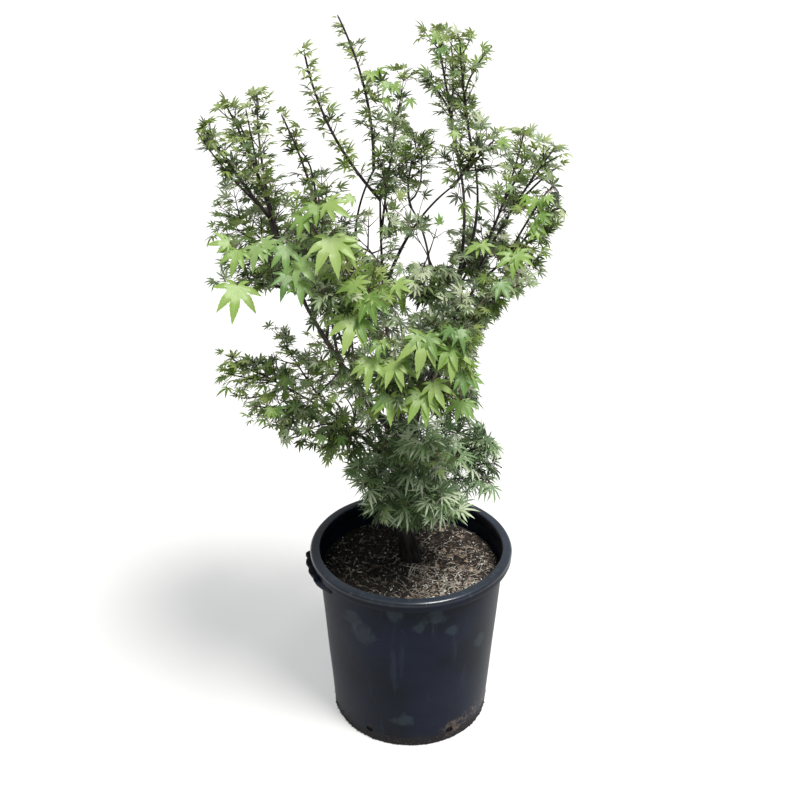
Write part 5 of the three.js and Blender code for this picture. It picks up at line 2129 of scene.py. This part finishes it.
    def grip(self) -> Surface:
        """The grip: a rounded section carried round the wall, whose reach runs in scallops."""
        plan = self.plan
        share = np.linspace(0, 1, 121)
        angle = np.radians(mixed(self.grip_from, self.grip_to, share))
        root = plan.wall_radius(self.grip_bottom) - plan.wall / 2
        wave = 1 - np.abs(np.sin(np.pi * self.grip_scallops * share))
        scallop = self.grip_reach - self.grip_depth * wave
        ends = np.clip(self.grip_fade * np.sin(np.pi * share), 0, 1) ** 0.6
        reach = mixed(root + plan.wall, scallop, ends)
        low, top, least = self.grip_bottom, plan.rim_foot + 0.0015, 0.0006
        taper = self.grip_taper * ends
        outline = [(0.0, 0.0), (0.5, 0.0), (0.93, 0.01), (0.985, 0.05), (1.0, 0.14)]
        outline += [(1.0, 0.5), (1.0, 0.86), (0.985, 0.95), (0.94, 1.0), (0.5, 1.0), (0.0, 1.0)]
        out, rise = np.array(outline).T
        slant = taper[:, None] * (1 - np.clip(rise * self.grip_slant, 0, 1)) * (out > 0)
        radial = root + (reach - root)[:, None] * out - slant * out
        height = np.broadcast_to(low + (top - low) * rise, radial.shape)
        radial = np.where(out > 0, np.maximum(radial, root + least), radial)
        points = np.concatenate([column(radial) * level_way(angle)[:, None], column(height)], -1)
        return capped(points, points[[0, -1]].mean(1))


# Potting mix


@dataclass
class PottingMix:
    """The dished soil with crumbs, straws, bark chips and white grains lying on it."""

    plan: PotPlan
    view: Viewpoint
    rings: int = 110
    sides: int = 220
    crumbs: int = 4200
    straws: int = 900
    chips: int = 460
    grains: int = 300
    straw_length: Pair = (7, 36)  # millimetres, as are the next two
    straw_radius: Pair = (0.3, 1.0)
    seen_straw_radius: float = 1.15  # of those that the photograph shows singly
    sunny: Pair = (0.08, -0.09)  # middle of the strawy part
    # earth, crumbs and chips take the full painted shade on the left, straws half of it, grains none
    earth: EarthFinish = EarthFinish("earth", "#0b0908", "#2a221e", "#746451", 0.4)
    crumb: EarthFinish = EarthFinish("crumb", "#14100e", "#4e3f37", "#ab9b86", 0.7, 340.0)
    straw: EarthFinish = EarthFinish("straw", "#7c7262", "#f2ecde", "#ffffff", 0.9, 500.0, damp_shade=0.5)
    chip: EarthFinish = EarthFinish("chip", "#3a2d26", "#92806f", "#efe6d6", 0.65, 420.0)
    grain: EarthFinish = EarthFinish("grain", "#b9b5ae", "#f4f0e8", "#ffffff", 0.9, 700.0, damp_shade=0.0)

    @property
    def edge(self) -> float:
        """Radius at which the mix meets the wall."""
        return self.plan.wall_radius(self.plan.soil_level - 0.008) - self.plan.wall - 0.0004

    def level(self, place: Array) -> Array:
        """Height of the mix at X and Y: nearly flat in the middle, sunk 8 mm at the wall, and lumpy."""
        radius = np.hypot(place[..., 0], place[..., 1])
        sink = 0.0024 * np.clip((radius - 0.07) / 0.08, 0, 1)
        sink = sink + 0.0056 * np.clip((radius - 0.15) / 0.044, 0, 1)
        lumps = 0.0016 * ripples(place, 0.05, 21) + 0.0011 * ripples(place, 0.016, 22)
        crumbly = 0.0007 * ripples(place, 0.006, 23, 16)
        fade = np.clip((self.edge - radius) / 0.01, 0, 1)
        return self.plan.soil_level - 0.0012 - sink + (lumps + crumbly) * fade

    def build(self) -> None:
        """Make the bed and everything on it."""
        random = np.random.default_rng(31)
        placed("soil_bed", self.bed(), self.earth.material(), "soil", ["soil"])
        self._strewn("soil_crumbs", self.crumbs, (1.0, 4.6), 0.7, self.crumb, random)
        placed("soil_straws", self.straw_surface(random), self.straw.material(), "soil", ["soil"])
        self._strewn("soil_chips", self.chips, (2.5, 9.0), 0.35, self.chip, random)
        self._strewn("soil_grains", self.grains, (1.3, 3.0), 0.85, self.grain, random)

    def bed(self) -> Surface:
        """The soil: a disc of rings at its level, closed by a skirt and a flat underside."""
        radius = self.edge * np.linspace(0, 1, self.rings + 1)[1:] ** 0.9
        angle = 2 * np.pi * np.arange(self.sides) / self.sides
        r, a = np.meshgrid(radius[::-1], angle, indexing="ij")
        flat = column(r) * level_way(a)
        top = np.concatenate([flat, column(self.level(flat))], -1)
        floor = self.plan.floor + 0.0003
        foot_radius = self.plan.wall_radius(floor) - self.plan.wall - 0.0006
        skirt = np.concatenate([foot_radius * level_way(angle), np.full((self.sides, 1), floor)], -1)
        poles = np.array([[0.0, 0.0, floor], [0.0, 0.0, self.level(np.zeros(2))]])
        return capped(np.concatenate([skirt[None], top]), poles)

    def scattered(self, count: int, random: Random, gathered: float) -> Array:
        """Places on the mix.

        Args:
            count: How many.
            random: Source of the places.
            gathered: Share of them that lie round the sunny part.

        Returns:
            X and Y, (count, 2), clear of the wall.
        """
        radius = (self.edge - 0.006) * np.sqrt(random.random(count))
        angle = random.uniform(0, 2 * np.pi, count)
        even = column(radius) * level_way(angle)
        near = np.array(self.sunny) + random.normal(0, 0.062, (count, 2))
        place = np.where(column(random.random(count) < gathered), near, even)
        limit = (self.edge - 0.008) / np.maximum(np.linalg.norm(place, axis=1), 1e-9)
        return place * column(np.minimum(1, limit))

    def _strewn(
        self, name: str, count: int, sizes: Pair, flat: float, finish: EarthFinish,
        random: Random,
    ) -> None:
        """Put small uneven lumps into the scene, half sunk in the mix.

        Args:
            name: The piece's name.
            count: How many.
            sizes: Smallest and largest half width, in millimetres.
            flat: Height against width.
            finish: What they look like.
            random: Source of their shapes and places.
        """
        place = self.scattered(count, random, 0.2)
        size = mixed(*sizes, random.random(count) ** 2.2) * MM
        level = self.level(place) + 0.25 * flat * size
        lumps = uneven_lumps(np.concatenate([place, column(level)], -1), size, flat, random)
        placed(name, lumps, finish.material(), "soil", ["soil"], smooth=False)

    def straw_surface(self, random: Random) -> Surface:
        """Straws and root threads: thin bowed tubes that follow the mix, and a few long ones."""
        count = self.straws
        place = self.scattered(count, random, 0.55)
        turn = random.uniform(0, 2 * np.pi, count)
        length = mixed(*self.straw_length, random.random(count) ** 2) * MM
        way = level_way(turn) * column(length) / 2
        ends = np.stack([place - way, place + way], 1)
        pixels = (
            (407, 578, 419, 561), (401, 566, 425, 571), (428, 597, 434, 598), (412, 557, 409, 575),
            (391, 559, 402, 554), (394, 562, 405, 556), (400, 555, 412, 561), (403, 563, 408, 553),
            (408, 576, 417, 562), (348, 566, 350, 580), (423, 543, 433, 534), (440, 520, 455, 509),
        )
        pairs = [(row[:2], row[2:]) for row in pixels]
        seen = np.array([[self.view.on_level(p, self.plan.soil_level)[:2] for p in pair] for pair in pairs])
        ends = np.concatenate([ends, seen])
        share = np.linspace(0, 1, 5)[None, :, None]
        flat = ends[:, :1] * (1 - share) + ends[:, 1:] * share
        sideways = (ends[:, 1] - ends[:, 0])[:, ::-1] * np.array([-1, 1])
        bow = random.normal(0, 0.07, len(ends))
        flat = flat + sideways[:, None] * bow[:, None, None] * (4 * share * (1 - share))
        flat = flat[np.linalg.norm(flat, axis=2).max(1) < self.edge - 0.003]
        some = len(flat)
        proud = random.uniform(0.3, 2.2, (some, 1)) * MM + 4 * share[..., 0] * (1 - share[..., 0]) * 0.0012
        level = self.level(flat) + proud
        thick = mixed(*self.straw_radius, random.random((some, 1)) ** 1.6) * MM
        thick[-len(pixels) :] = self.seen_straw_radius * MM
        return tubes(np.concatenate([flat, column(level)], -1), thick * np.array([0.6, 1, 1, 0.9, 0.4]), 3)


def main() -> None:
    """Build the plant, its pot and the studio, in order."""
    logging.basicConfig(level=logging.INFO, format="%(name)s: %(message)s")
    view = Viewpoint()
    pot = PotPlan.from_frame()
    bends = plant_bends()
    view.build()
    Studio().build()
    NurseryPot(pot, view).build()
    PottingMix(pot, view).build()
    Limbs(bends).build()
    Crown(bends, Spaces(bends, pot), view).build()


if __name__ == "__main__":
    main()
